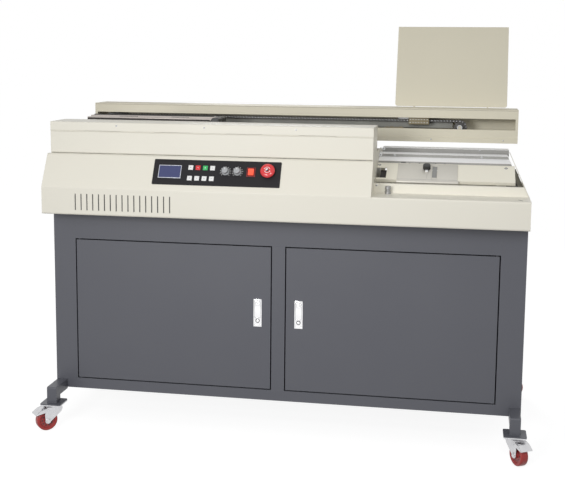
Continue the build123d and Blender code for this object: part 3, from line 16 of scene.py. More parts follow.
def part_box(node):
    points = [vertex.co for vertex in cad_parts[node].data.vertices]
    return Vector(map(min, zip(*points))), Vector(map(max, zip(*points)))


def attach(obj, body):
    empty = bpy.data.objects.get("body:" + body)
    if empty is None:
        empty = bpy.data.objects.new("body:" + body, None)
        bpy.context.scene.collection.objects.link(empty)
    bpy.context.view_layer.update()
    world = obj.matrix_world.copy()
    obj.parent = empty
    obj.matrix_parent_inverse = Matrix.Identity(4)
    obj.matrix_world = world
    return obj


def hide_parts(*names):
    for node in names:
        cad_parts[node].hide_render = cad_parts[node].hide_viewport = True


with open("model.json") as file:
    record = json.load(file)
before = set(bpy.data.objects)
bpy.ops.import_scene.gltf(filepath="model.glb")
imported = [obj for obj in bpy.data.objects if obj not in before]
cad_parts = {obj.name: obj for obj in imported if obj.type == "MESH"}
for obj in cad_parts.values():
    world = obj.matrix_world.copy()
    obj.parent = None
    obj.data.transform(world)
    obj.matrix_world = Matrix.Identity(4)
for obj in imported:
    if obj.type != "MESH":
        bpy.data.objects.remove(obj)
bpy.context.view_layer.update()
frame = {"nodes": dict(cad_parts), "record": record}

mm = 0.001
nodes = frame["nodes"]
record = frame["record"]
joints = {joint["name"]: joint for joint in record["behaviour"]["joints"]}

# %% [markdown]
# ## Finishes
# A material is built from a short recipe: a colour broken up by broad noise, a roughness that
# varies a little, and a fine bump. Two node groups hold what the finishes share. They give
# only a mask and a normal, so each material keeps its own shader.

# %% Shared node groups
def new_group(name, sockets):
    """An empty node group. Sockets are (name, direction, type, default value)."""
    group = bpy.data.node_groups.new(name, "ShaderNodeTree")
    for label, direction, kind, value in sockets:
        socket = group.interface.new_socket(label, in_out=direction, socket_type=kind)
        if value is not None:
            socket.default_value = value
    return group, group.nodes.new("NodeGroupInput"), group.nodes.new("NodeGroupOutput")


def blotch_group():
    """Broad uneven patches, from 0 to 1, on the object's own coordinates."""
    group, given, result = new_group(
        "blotches",
        [
            ("Scale", "INPUT", "NodeSocketFloat", 4.0),
            ("Contrast", "INPUT", "NodeSocketFloat", 1.0),
            ("Mask", "OUTPUT", "NodeSocketFloat", None),
        ],
    )
    links = group.links
    place = group.nodes.new("ShaderNodeTexCoord")
    noise = group.nodes.new("ShaderNodeTexNoise")
    noise.inputs["Detail"].default_value = 4.0
    links.new(place.outputs["Object"], noise.inputs["Vector"])
    links.new(given.outputs["Scale"], noise.inputs["Scale"])
    centred = group.nodes.new("ShaderNodeMath")
    centred.operation = "SUBTRACT"
    centred.inputs[1].default_value = 0.5
    links.new(noise.outputs["Fac"], centred.inputs[0])
    spread = group.nodes.new("ShaderNodeMath")
    spread.operation = "MULTIPLY_ADD"
    spread.use_clamp = True
    spread.inputs[2].default_value = 0.5
    links.new(centred.outputs[0], spread.inputs[0])
    links.new(given.outputs["Contrast"], spread.inputs[1])
    links.new(spread.outputs[0], result.inputs["Mask"])
    return group


def grain_group():
    """A fine bump on softened edges. Stretch sets the grain's length along each axis."""
    group, given, result = new_group(
        "grain",
        [
            ("Scale", "INPUT", "NodeSocketFloat", 900.0),
            ("Stretch", "INPUT", "NodeSocketVector", (1.0, 1.0, 1.0)),
            ("Depth", "INPUT", "NodeSocketFloat", 0.00002),
            ("Edge", "INPUT", "NodeSocketFloat", 0.0008),
            ("Normal", "OUTPUT", "NodeSocketVector", None),
        ],
    )
    links = group.links
    place = group.nodes.new("ShaderNodeTexCoord")
    stretched = group.nodes.new("ShaderNodeVectorMath")
    stretched.operation = "MULTIPLY"
    links.new(place.outputs["Object"], stretched.inputs[0])
    links.new(given.outputs["Stretch"], stretched.inputs[1])
    noise = group.nodes.new("ShaderNodeTexNoise")
    noise.inputs["Detail"].default_value = 3.0
    links.new(stretched.outputs[0], noise.inputs["Vector"])
    links.new(given.outputs["Scale"], noise.inputs["Scale"])
    edge = group.nodes.new("ShaderNodeBevel")
    edge.samples = 4
    links.new(given.outputs["Edge"], edge.inputs["Radius"])
    bump = group.nodes.new("ShaderNodeBump")
    bump.inputs["Strength"].default_value = 1.0
    links.new(noise.outputs["Fac"], bump.inputs["Height"])
    links.new(given.outputs["Depth"], bump.inputs["Distance"])
    links.new(edge.outputs[0], bump.inputs["Normal"])
    links.new(bump.outputs[0], result.inputs["Normal"])
    return group


BLOTCHES = blotch_group()
GRAIN = grain_group()

# %% One recipe for every finish
def finish(name, colour, other=None, rough=(0.4, 0.5), metal=0.0, blotch=4.0, contrast=1.5,
           grain=900.0, stretch=(1, 1, 1), depth=0.00002, edge=0.0008, coat=0.0, glow=None, shine=0.5):
    """A painted, moulded or bare-metal finish. other is the colour of its patches."""
    material = bpy.data.materials.new(name)
    material.use_nodes = True
    tree = material.node_tree
    shader = tree.nodes["Principled BSDF"]
    mask = tree.nodes.new("ShaderNodeGroup")
    mask.node_tree = BLOTCHES
    mask.inputs["Scale"].default_value = blotch
    mask.inputs["Contrast"].default_value = contrast
    if other is None:
        shader.inputs["Base Color"].default_value = (*colour, 1)
    else:
        mix = tree.nodes.new("ShaderNodeMix")
        mix.data_type = "RGBA"
        mix.inputs["A"].default_value = (*colour, 1)
        mix.inputs["B"].default_value = (*other, 1)
        tree.links.new(mask.outputs["Mask"], mix.inputs["Factor"])
        tree.links.new(mix.outputs["Result"], shader.inputs["Base Color"])
    spread = tree.nodes.new("ShaderNodeMapRange")
    spread.inputs["To Min"].default_value = rough[0]
    spread.inputs["To Max"].default_value = rough[1]
    tree.links.new(mask.outputs["Mask"], spread.inputs["Value"])
    tree.links.new(spread.outputs["Result"], shader.inputs["Roughness"])
    surface = tree.nodes.new("ShaderNodeGroup")
    surface.node_tree = GRAIN
    surface.inputs["Scale"].default_value = grain
    surface.inputs["Stretch"].default_value = stretch
    surface.inputs["Depth"].default_value = depth
    surface.inputs["Edge"].default_value = edge
    tree.links.new(surface.outputs["Normal"], shader.inputs["Normal"])
    shader.inputs["Metallic"].default_value = metal
    shader.inputs["Coat Weight"].default_value = coat
    shader.inputs["Specular IOR Level"].default_value = shine
    if glow:
        shader.inputs["Emission Color"].default_value = (*glow[:3], 1)
        shader.inputs["Emission Strength"].default_value = glow[3]
    return material

# %% [markdown]
# ### Paints
# The casing is stove-enamelled in one cream. The beam and tray take a darker, yellower copy of it,
# which is painted shade for the light falling off towards the back. The table takes a paler copy,
# which is painted light on its slope, and a grey-brown copy is painted shade on a plate in shade.
# The cabinet is slate grey. Two close colours in broad patches keep a large flat
# sheet from looking like plastic, and a very fine grain stands for the spray.

# %% Paints
spray = dict(grain=700, depth=0.00003)
cream = finish("cream paint", (0.80, 0.775, 0.685), (0.785, 0.755, 0.66), rough=(0.38, 0.46), **spray)
# Painted shade: a darker, yellower copy of the cream for the beam and tray, where the light falls off towards
# the back.
beam_cream_painted_shade = finish("beam cream, painted shade", (0.73, 0.69, 0.56), (0.71, 0.67, 0.54), rough=(0.5, 0.6),
                    shine=0.2, **spray)
# Painted light: a paler copy of the cream for the sloping table.
table_cream_painted_light = finish("table cream, painted light", (0.90, 0.865, 0.74), (0.88, 0.845, 0.72), rough=(0.38, 0.46), **spray)
# Painted shade: a grey-brown copy of the cream for a plate that stands in shade.
shaded_cream = finish("inner cream, painted shade", (0.42, 0.40, 0.34), (0.38, 0.36, 0.30), rough=(0.5, 0.6), blotch=20)
slate = finish("slate paint", (0.098, 0.101, 0.120), (0.106, 0.109, 0.126), rough=(0.36, 0.46),
               grain=600, depth=0.00004)
enamel = finish("grey enamel", (0.10, 0.105, 0.11), (0.12, 0.125, 0.13), rough=(0.35, 0.5), blotch=20)
seam_shadow = finish("seam shadow", (0.30, 0.265, 0.225), rough=(0.6, 0.7), blotch=20)
print("paints made")

# %% [markdown]
# ### Metals
# Bare steel is drawn out along the machine: the grain's coordinates are squeezed along X, so
# its noise becomes long brush lines. Worn and oiled parts take a lower metallic value, because
# a film of oil or oxide hides the metal.

# %% Metals
brushed = dict(stretch=(0.04, 1, 1), depth=0.00002, edge=0.0005)
ground = dict(grain=700, stretch=(0.03, 1, 1), depth=0.00001)
steel = finish("brushed steel", (0.56, 0.54, 0.52), (0.50, 0.48, 0.46), rough=(0.26, 0.36), metal=1.0,
               blotch=9, grain=500, **brushed)
clamp_steel = finish("clamp stainless", (0.50, 0.455, 0.42), (0.44, 0.40, 0.37), rough=(0.34, 0.46),
                     metal=0.55, blotch=9, grain=500, **brushed)
ground_steel = finish("ground bar steel", (0.80, 0.79, 0.78), (0.74, 0.73, 0.72), rough=(0.16, 0.26),
                      metal=1.0, blotch=12, edge=0.0005, **ground)
# Painted shade and painted highlight: two copies of the ground steel, grey for the bars' upright faces and
# near white for their tops, for how the light falls on them.
bar_face_painted_shade = finish("bar face, painted shade", (0.36, 0.355, 0.34), (0.32, 0.315, 0.30), rough=(0.5, 0.6), blotch=12,
                   shine=0.2, **ground)
bar_top_painted_highlight = finish("ground bar top, painted highlight", (0.97, 0.97, 0.965), (0.93, 0.93, 0.925), rough=(0.4, 0.5),
                    blotch=12, **ground)
zinc = finish("zinc plate", (0.66, 0.66, 0.67), (0.58, 0.58, 0.60), rough=(0.22, 0.38), metal=1.0,
              blotch=60, edge=0.0006)
chrome = finish("chrome", (0.86, 0.86, 0.87), rough=(0.06, 0.12), metal=1.0, blotch=30,
                depth=0.000004, edge=0.0006)
oiled_steel = finish("oiled chain steel", (0.045, 0.043, 0.040), (0.028, 0.027, 0.025), rough=(0.40, 0.52),
                     metal=0.3, blotch=120, edge=0.0003)
bright_pin = finish("bright pins", (0.42, 0.42, 0.42), (0.22, 0.22, 0.22), rough=(0.3, 0.4),
                    metal=0.8, blotch=300)
cast_metal = finish("cast aluminium", (0.42, 0.42, 0.42), (0.36, 0.36, 0.36), rough=(0.45, 0.6), metal=0.9,
                    blotch=40, grain=400, depth=0.0001)
dull_rail = finish("dull rail steel", (0.30, 0.30, 0.27), (0.24, 0.24, 0.22), rough=(0.5, 0.65),
                   metal=0.2, blotch=30)
gauge_steel = finish("gauge plate", (0.66, 0.635, 0.575), (0.62, 0.60, 0.54), rough=(0.4, 0.5),
                     metal=0.15, blotch=14)
window_grey = finish("window grey", (0.30, 0.30, 0.29), (0.26, 0.26, 0.25), rough=(0.4, 0.55), blotch=40)
table_metal = finish("table screws", (0.62, 0.61, 0.57), rough=(0.3, 0.4), metal=0.5, blotch=60)
catch_grey = finish("catch grey", (0.36, 0.36, 0.36), (0.30, 0.30, 0.30), rough=(0.3, 0.42),
                    metal=0.6, blotch=60)
bezel_silver = finish("silver bezel", (0.62, 0.64, 0.70), rough=(0.25, 0.35), metal=0.6, blotch=40)
print("metals made")

# %% [markdown]
# ### Mouldings, rubber and film
# Moulded parts are one colour with a soft shine. The panel's film is nearly black and
# scatters little. The rocker is lit from inside, so it also gives off some light of its own.

# %% Mouldings
guide_plastic = finish("khaki moulding", (0.30, 0.25, 0.15), (0.24, 0.20, 0.12), rough=(0.45, 0.6), blotch=40)
nylon = finish("white nylon", (0.82, 0.83, 0.84), (0.76, 0.77, 0.78), rough=(0.35, 0.5), blotch=40)
red_tyre = finish("red wheel tyre", (0.42, 0.035, 0.03), (0.34, 0.03, 0.03), rough=(0.3, 0.45), blotch=60)
wheel_hub = finish("red wheel hub", (0.36, 0.045, 0.045), (0.30, 0.04, 0.04), rough=(0.35, 0.5), blotch=60)
# Rubber on the jaws, and painted shade where it fills the station's recess and gap.
dark_rubber_and_shade = finish("dark rubber and painted shade", (0.022, 0.019, 0.018), (0.03, 0.026, 0.024), rough=(0.6, 0.75), blotch=60)
black_film = finish("black panel film", (0.011, 0.010, 0.012), (0.014, 0.013, 0.015), rough=(0.5, 0.6),
                    edge=0.0003, shine=0.25)
# Black mouldings, and painted shade where dark bars and discs stand for recesses, holes, sockets and slots.
black_plastic = finish("black moulding and painted shade", (0.02, 0.02, 0.02), (0.03, 0.03, 0.03), rough=(0.35, 0.5), blotch=50)
white_plastic = finish("white key", (0.84, 0.84, 0.83), rough=(0.3, 0.4), blotch=50)
red_plastic = finish("red button", (0.70, 0.03, 0.035), rough=(0.2, 0.3), blotch=50, coat=0.3)
green_plastic = finish("green key", (0.05, 0.48, 0.14), rough=(0.3, 0.4), blotch=50)
grey_plastic = finish("grey knob", (0.42, 0.43, 0.44), (0.36, 0.37, 0.38), rough=(0.3, 0.4), blotch=60)
display_blue = finish("blue display", (0.050, 0.060, 0.165), (0.042, 0.052, 0.145), rough=(0.25, 0.35),
                      blotch=20)
lit_red = finish("lit rocker", (0.75, 0.06, 0.03), rough=(0.2, 0.3), blotch=50, glow=(1.0, 0.13, 0.06, 0.55))
dark_red = finish("dark red frame", (0.26, 0.018, 0.022), rough=(0.3, 0.4), blotch=50)
print("materials", len(bpy.data.materials))

# %% Give the CAD nodes their finishes
FINISHES = {
    "body_paint": cream, "cabinet_paint": slate, "table_paint": table_cream_painted_light,
    "steel": steel, "bar_steel": ground_steel,
    "zinc": zinc, "chrome": chrome, "chain_steel": oiled_steel, "guide_plastic": guide_plastic,
    "wheel": red_tyre, "panel": black_film, "display": display_blue, "white_key": white_plastic,
    "red_key": red_plastic, "green_key": green_plastic, "knob": grey_plastic,
    "black_plastic": black_plastic, "cast": cast_metal, "machine_grey": enamel,
}


def paint(node, material):
    node.data.materials.clear()
    node.data.materials.append(material)


for part in record["subparts"]:
    paint(nodes[part["node"]], FINISHES.get(part["material_slot"], cream))
# The beam and tray take the copy of the cream with painted shade.
for name in ("beam", "cover_tray"):
    paint(nodes[name], beam_cream_painted_shade)
print("painted", len(record["subparts"]), "nodes")

# %% [markdown]
# ## Tools for small parts
# Every small part is built from a few operators: a box or rod with bevelled edges, an outline
# given a thickness, and a profile spun about an axis. A part is put together in a local frame
# and then placed by a matrix, so that its mesh ends up in the CAD's own frame.

# %% Directions
ALONG_X = Matrix(((0, 0, 1, 0), (1, 0, 0, 0), (0, 1, 0, 0), (0, 0, 0, 1)))
ALONG_Y = Matrix(((1, 0, 0, 0), (0, 0, 1, 0), (0, 1, 0, 0), (0, 0, 0, 1)))


def facing_front(x, y, z):
    """A frame on a front face: X along the machine, Y up and Z towards the operator."""
    return Matrix.Translation((x, y, z)) @ Matrix.Rotation(math.pi / 2, 4, "X")


def facing_back(x, y, z):
    """A frame whose Z points away from the operator."""
    return Matrix.Translation((x, y, z)) @ Matrix.Rotation(-math.pi / 2, 4, "X")


def turn_to(x_axis, y_axis, z_axis):
    """The turn that takes X, Y and Z to three given axes."""
    return Matrix((x_axis, y_axis, z_axis)).transposed().to_4x4()


def span(side, near, far):
    """Two distances put on one side of the middle, in rising order."""
    return sorted((side * near, side * far))

# %% Boxes and rods
def bevel(bm, edges, width, segments=2):
    """Rounds edges off, unless the width is nought."""
    if width > 0:
        bmesh.ops.bevel(bm, geom=edges, offset=width, offset_type="OFFSET", segments=segments,
                        profile=0.5, affect="EDGES", material=-1, clamp_overlap=True)


def edges_at(verts):
    """The edges that touch some vertices, each once and always in the same order."""
    return list(dict.fromkeys(edge for vert in verts for edge in vert.link_edges))


def add_box(bm, low, high, width=0.0, place=Matrix(), segments=2):
    """A box between two corners, with its edges bevelled."""
    low, high = Vector(low), Vector(high)
    size = Matrix.Diagonal((*(high - low), 1))
    made = bmesh.ops.create_cube(bm, size=1, matrix=place @ Matrix.Translation((low + high) / 2) @ size)
    bevel(bm, edges_at(made["verts"]), width, segments)


def add_rod(bm, radius, low, high, width=0.0, place=Matrix(), steps=32):
    """A rod along local Z, with its rims bevelled."""
    middle = place @ Matrix.Translation((0, 0, (low + high) / 2))
    made = bmesh.ops.create_cone(bm, cap_ends=True, segments=steps, radius1=radius, radius2=radius,
                                 depth=high - low, matrix=middle)
    rims = [edge for edge in edges_at(made["verts"])
            if any(len(face.verts) == steps for face in edge.link_faces)]
    bevel(bm, rims, width)

# %% Turned and extruded shapes
def add_spun(bm, profile, place=Matrix(), steps=48):
    """A (radius, height) profile turned about local Z."""
    part = bmesh.new()
    verts = [part.verts.new((radius, 0, height)) for radius, height in profile]
    edges = [part.edges.new(pair) for pair in zip(verts, verts[1:])]
    bmesh.ops.spin(part, geom=[*verts, *edges], cent=(0, 0, 0), axis=(0, 0, 1), dvec=(0, 0, 0),
                   angle=2 * math.pi, steps=steps, use_merge=True, use_duplicate=False)
    bmesh.ops.remove_doubles(part, verts=part.verts, dist=1e-7)
    bmesh.ops.transform(part, matrix=place, verts=part.verts)
    turned = bpy.data.meshes.new("turned")
    part.to_mesh(turned)
    part.free()
    bm.from_mesh(turned)
    bpy.data.meshes.remove(turned)


def add_ring(bm, section, place=Matrix(), steps=48):
    """A closed (radius, height) section turned about local Z."""
    add_spun(bm, [*section, section[0]], place, steps)


def add_plate(bm, outline, low, high, width=0.0, place=Matrix(), segments=2):
    """A local (x, y) outline given a thickness along local Z."""
    face = bm.faces.new([bm.verts.new(place @ Vector((x, y, low))) for x, y in outline])
    made = bmesh.ops.extrude_face_region(bm, geom=[face])["geom"]
    top = [item for item in made if isinstance(item, bmesh.types.BMVert)]
    shift = place.to_3x3() @ Vector((0, 0, high - low))
    bmesh.ops.translate(bm, vec=shift, verts=top)
    bevel(bm, edges_at([*face.verts, *top]), width, segments)


def add_frame(bm, half_x, half_y, wall, low, high, width, place):
    """A rectangular ring of four bars about local Z."""
    for side in (-1, 1):
        left, right = span(side, half_x - wall, half_x)
        add_box(bm, (left, -half_y, low), (right, half_y, high), width, place)
        foot, top = span(side, half_y - wall, half_y)
        add_box(bm, (wall - half_x, foot, low), (half_x - wall, top, high), width, place)


def fluted(crest, valley, flutes):
    """The outline of a grip with flutes round it."""
    outline = []
    for i in range(flutes):
        outline += arc((0, 0), crest, 360 * i / flutes, 360 * (i + 0.55) / flutes, 2)
        outline += arc((0, 0), valley, 360 * (i + 0.7) / flutes, 360 * (i + 0.85) / flutes, 1)
    return outline


def arc(centre, radius, first, last, steps):
    """Points along an arc, with its angles in degrees."""
    angles = [math.radians(first + (last - first) * i / steps) for i in range(steps + 1)]
    return [(centre[0] + radius * math.cos(a), centre[1] + radius * math.sin(a)) for a in angles]

# %% Pieces
def piece(name, body, material, build, replaces=(), soft=40):
    """Runs build on an empty mesh and makes the result a piece that rides on a body."""
    bm = bmesh.new()
    build(bm)
    bmesh.ops.recalc_face_normals(bm, faces=bm.faces)
    mesh = bpy.data.meshes.new(name)
    bm.to_mesh(mesh)
    bm.free()
    mesh.shade_smooth()
    mesh.set_sharp_from_angle(angle=math.radians(soft))
    mesh.materials.append(material)
    made = bpy.data.objects.new(name, mesh)
    bpy.context.collection.objects.link(made)
    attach(made, body)
    if replaces:
        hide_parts(*replaces)
    print(name, "on", body, len(mesh.polygons), "faces")
    return made

# %% [markdown]
# ### Screws
# Zinc-plated pan heads hold the covers. A head is a short profile turned about its axis. Its
# cross recess could be cut, but at this size two dark bars of painted shade laid on top look the same.

# %% Screws
def add_screw(bm, place, radius, height):
    """A pan head standing on local Z = 0."""
    dome = [(0.0, height), (radius * 0.45, height), (radius * 0.8, height * 0.8),
            (radius, height * 0.35), (radius, 0.0)]
    add_spun(bm, dome, place, 20)


def add_recess(bm, place, radius, height):
    """The two dark bars of painted shade that stand for a cross recess."""
    long, narrow = radius * 0.6, radius * 0.12
    for turn in (0, 90):
        spin = place @ Matrix.Rotation(math.radians(turn + 20), 4, "Z")
        add_box(bm, (-long, -narrow, height * 0.9), (long, narrow, height * 1.03), 0, spin)


def screws(name, body, places, radius, height, material):
    """Screw heads and their recesses, at a list of frames."""
    def heads(bm):
        for place in places:
            add_screw(bm, place, radius, height)

    def crosses(bm):
        for place in places:
            add_recess(bm, place, radius, height)

    piece(name, body, material, heads)
    piece(name + "_recess", body, black_plastic, crosses)

# %% [markdown]
# ## Casters
# Four swivelling wheels carry the machine, and the front two have a pedal. Each could be
# modelled where it stands, but the casters differ in nothing but place and turn. So one is
# drawn trailing along local +X under its swivel axis, and the frame's joints place it.

# %% Caster sizes and frames
FORK_TOP = 72 * mm
CROWN_LOW = 68 * mm
FORK_HALF = 16.5 * mm
FORK_SHEET = 2.5 * mm
WHEEL_HALF = 12 * mm
HUB_HALF = 13.4 * mm
AXLE = 4.2 * mm
NUT, WASHER = 3.4 * mm, 0.8 * mm


def caster_frame(name):
    """The frame of a caster, its trail and its wheel's radius."""
    swivel = Vector(joints["fork_" + name]["pos_m"])
    wheel = Vector(joints["wheel_" + name]["pos_m"])
    along = wheel - swivel
    turn = math.atan2(along.y, along.x)
    place = Matrix.Translation((swivel.x, swivel.y, 0)) @ Matrix.Rotation(turn, 4, "Z")
    return place, math.hypot(along.x, along.y), wheel.z


def sideways(place, x, z):
    """A frame at local (x, z) with its Z along local +Y, across the wheel."""
    return place @ Matrix.Translation((x, 0, z)) @ Matrix.Rotation(-math.pi / 2, 4, "X")

# %% [markdown]
# ### Wheels
# A red tyre on a red hub with a sunk web. They could be cylinders with bevelled rims, but a
# turned profile gives the round shoulder and the slope down to the web in one go. The web's
# holes are dark discs of painted shade just proud of it.

# %% Wheels
def caster_wheel(name):
    """A tyre and a hub turned from profiles, with ten dark discs of painted shade for the holes round the
    web.
    """
    place, trail, radius = caster_frame(name)
    axis = sideways(place, trail, radius)
    shoulder, rim = 4.5 * mm, radius - 8.5 * mm

    def tyre(bm):
        side = arc((radius - shoulder, WHEEL_HALF - shoulder), shoulder, 90, 12, 6)
        crown = [(radius, WHEEL_HALF * 0.3), (radius, -WHEEL_HALF * 0.3)]
        other = [(r, -h) for r, h in reversed(side)]
        outline = [(rim, WHEEL_HALF - 1 * mm), *side, *crown, *other, (rim, 1 * mm - WHEEL_HALF)]
        add_ring(bm, outline, axis, 64)

    def hub(bm):
        web = WHEEL_HALF - 4 * mm
        outline = [
            (AXLE, HUB_HALF), (8.5 * mm, HUB_HALF), (9.5 * mm, web), (rim - 2 * mm, web),
            (rim + 0.1 * mm, WHEEL_HALF - 1.2 * mm),
        ]
        other = [(r, -h) for r, h in reversed(outline)]
        add_ring(bm, [*outline, *other], axis)

    def holes(bm):
        count, reach = 10, Matrix.Translation((16 * mm, 0, 0))
        for side in (-1, 1):
            for i in range(count):
                spot = axis @ Matrix.Rotation(math.tau * i / count, 4, "Z") @ reach
                low, high = span(side, 7.5 * mm, 8.15 * mm)
                add_rod(bm, 2.3 * mm, low, high, 0, spot, 16)

    piece("tyre_" + name, "wheel_" + name, red_tyre, tyre, ["wheel_" + name], soft=50)
    piece("hub_" + name, "wheel_" + name, wheel_hub, hub)
    piece("hub_holes_" + name, "wheel_" + name, black_plastic, holes)

# %% [markdown]
# ### Forks
# Two cheeks of zinc-plated sheet hang from a crown, with the axle through them. A cheek is a
# flat outline given the sheet's thickness, which follows the pressed shape better than a
# tapered box would.

# %% Forks
def cheek_outline(trail, radius):
    """A fork cheek: wide and rounded at the crown, narrowing to the axle."""
    foot = arc((trail, radius), 9 * mm, -160, 20, 10)
    front = [(34 * mm, 52 * mm), (29.5 * mm, 62 * mm)]
    crown = [(26 * mm, FORK_TOP), (-20 * mm, FORK_TOP)]
    back = [(-22 * mm, 66 * mm), (-18 * mm, 56 * mm)]
    return [*foot, *front, *crown, *back]


def caster_fork(name):
    """Two cheeks under a crown, with the axle, its nuts and washers."""
    place, trail, radius = caster_frame(name)

    def fork(bm):
        outline = [(x, -z) for x, z in cheek_outline(trail, radius)]
        for side in (-1, 1):
            low, high = span(side, FORK_HALF - FORK_SHEET, FORK_HALF)
            add_plate(bm, outline, low, high, 0.7 * mm, sideways(place, 0, 0))
        inside = FORK_HALF - FORK_SHEET
        add_box(bm, (-20 * mm, -inside, CROWN_LOW), (26 * mm, inside, FORK_TOP), 0.6 * mm, place)
        axis = sideways(place, trail, radius)
        add_rod(bm, 3.9 * mm, -FORK_HALF, FORK_HALF, 0, axis)
        for side in (-1, 1):
            low, high = span(side, FORK_HALF, FORK_HALF + NUT)
            add_rod(bm, 6.5 * mm, low, high, 0.6 * mm, axis, 6)
            low, high = span(side, FORK_HALF, FORK_HALF + WASHER)
            add_rod(bm, 8.5 * mm, low, high, 0.2 * mm, axis, 32)

    piece("fork_" + name, "fork_" + name, zinc, fork, ["fork_" + name], soft=35)

# %% [markdown]
# ### Pedals
# A pressed pedal locks each front caster. It could be one bent plate. A top and two ears drawn
# from outlines follow the same bend and keep exact pivot points.

# %% Pedals
def caster_pedal(name):
    """A pressed pedal with turned-down sides and its pivot pins."""
    place, trail, radius = caster_frame(name)
    across = sideways(place, 0, 0)
    pivot = Vector((trail, 0, 64 * mm))
    inside, sheet, tip = FORK_HALF + 0.4 * mm, 1.8 * mm, 63 * mm

    def pressed(bm):
        top = [(30 * mm, 71 * mm), (46 * mm, 67 * mm), (tip, 55 * mm),
               (tip, 53.4 * mm), (45.5 * mm, 65.2 * mm), (30 * mm, 69.2 * mm)]
        add_plate(bm, [(x, -z) for x, z in top], -inside - sheet, inside + sheet, 0.5 * mm, across)
        ear = [
            *[(pivot.x + x, pivot.z + z) for x, z in arc((0, 0), 5.5 * mm, 100, 250, 8)],
            (38 * mm, 57 * mm), (tip - 2 * mm, 52.8 * mm), (tip, 55 * mm),
            (46 * mm, 67 * mm), (30 * mm, 71 * mm),
        ]
        for side in (-1, 1):
            low, high = span(side, inside, inside + sheet)
            add_plate(bm, [(x, -z) for x, z in ear], low, high, 0.5 * mm, across)

    def pins(bm):
        axis = sideways(place, pivot.x, pivot.z)
        for side in (-1, 1):
            low, high = span(side, inside + sheet, inside + sheet + 0.9 * mm)
            add_rod(bm, 3 * mm, low, high, 0.3 * mm, axis, 24)

    piece("pedal_" + name, "pedal_" + name, zinc, pressed, ["pedal_" + name], soft=35)
    piece("pedal_pins_" + name, "fork_" + name, zinc, pins)

# %% Set up the casters
for corner in ("left_front", "right_front", "left_rear", "right_rear"):
    caster_wheel(corner)
    caster_fork(corner)
for corner in ("left_front", "right_front"):
    caster_pedal(corner)

# %% [markdown]
# ## Door latches
# A chromed flush latch: a dished case with a bright hood at its top, a lever that fills the
# dish, and a push button below it. The dish could be cut out of a block. Bevelled boxes set
# round it are lighter, and their many edges catch the light as polished chrome does.

# %% Latches
def latch(side):
    low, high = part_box("latch_case_" + side)
    lever_low, lever_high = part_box("latch_lever_" + side)
    button_low, button_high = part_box("latch_button_" + side)
    door_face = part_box("door_" + side)[0].y
    middle = (low + high) / 2
    place = facing_front(middle.x, door_face, middle.z)
    half_width, half_height = (high.x - low.x) / 2, (high.z - low.z) / 2
    button_drop = middle.z - (button_low.z + button_high.z) / 2
    lever_top, lever_foot = lever_high.z - middle.z, lever_low.z - middle.z
    lever_half = (lever_high.x - lever_low.x) / 2
    proud = 2.4 * mm

    def case(bm):
        rim = 0.5 * mm
        gap = 0.35 * mm
        inner = lever_half + gap
        add_box(bm, (-half_width, -half_height, 0), (-inner, half_height, proud), rim, place)
        add_box(bm, (inner, -half_height, 0), (half_width, half_height, proud), rim, place)
        add_box(bm, (-inner, lever_top + gap, 0), (inner, half_height, proud), rim, place)
        hood = 4.5 * mm
        corner = (half_width, half_height, 3.9 * mm)
        add_box(bm, (-half_width, half_height - hood, 0), corner, 0.9 * mm, place, 3)
        add_box(bm, (-inner, -half_height, 0), (inner, -half_height + 6 * mm, proud), rim, place)
        dish = proud - 0.9 * mm
        add_box(bm, (-inner, -half_height + 5 * mm, 0), (inner, lever_foot - gap, dish), 0.2 * mm, place)

    def lever(bm):
        top = proud - 0.3 * mm
        add_box(bm, (-lever_half, lever_foot, -1.5 * mm), (lever_half, lever_top, top), 0.7 * mm, place, 3)
        rib, half_rib = lever_half - 3 * mm, 0.6 * mm
        for i in range(3):
            y = lever_top - (5 + i * 3.2) * mm
            low, high = (-rib, y - half_rib, top - 0.1 * mm), (rib, y + half_rib, top + 0.4 * mm)
            add_box(bm, low, high, 0.2 * mm, place)

    def button(bm):
        centre = place @ Matrix.Translation((0, -button_drop, 0))
        dome = [(0, 3.7 * mm), (2.6 * mm, 3.6 * mm), (4.1 * mm, 3.1 * mm), (4.7 * mm, 2.2 * mm),
                (4.8 * mm, -1 * mm)]
        add_spun(bm, dome, centre, 32)

    def collar(bm):
        centre = place @ Matrix.Translation((0, -button_drop, 0))
        ring = [(4.95 * mm, 0.2 * mm), (4.95 * mm, 1.9 * mm), (6.4 * mm, 1.9 * mm), (6.4 * mm, 0.2 * mm)]
        add_ring(bm, ring, centre, 32)

    piece("latch_case_" + side, "door_" + side, chrome, case, ["latch_case_" + side])
    piece("latch_lever_" + side, "latch_lever_" + side, chrome, lever, ["latch_lever_" + side])
    piece("latch_button_" + side, "latch_button_" + side, chrome, button,
          ["latch_button_" + side], soft=60)
    piece("latch_collar_" + side, "door_" + side, black_plastic, collar)


latch("left")
latch("right")

# %% [markdown]
# ## Control panel
# The controls stand on the sloping console. Typed-in places would drift away from the CAD, so
# the console's frame comes from the joints: the keys press along its inward normal, and the
# first knob turns about a point on it.

# %% The console's frame
console_out = -Vector(joints["key_1"]["axis"]).normalized()
console_right = Vector((1, 0, 0))
console_up = console_out.cross(console_right)
KNOB_POINT = Vector(joints["knob_1"]["pos_m"])
FILM = 1.5 * mm


def on_console(point, x=0.0, s=0.0, h=0.0):
    """A frame on the console at a point, moved sideways, up the slope and out of it."""
    turn = turn_to(console_right, console_up, console_out)
    level = console_out.dot(point - KNOB_POINT)
    base = point - console_out * level
    return Matrix.Translation(base) @ turn @ Matrix.Translation((x, s, h))


def middle_of(node):
    low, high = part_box(node)
    return (low + high) / 2


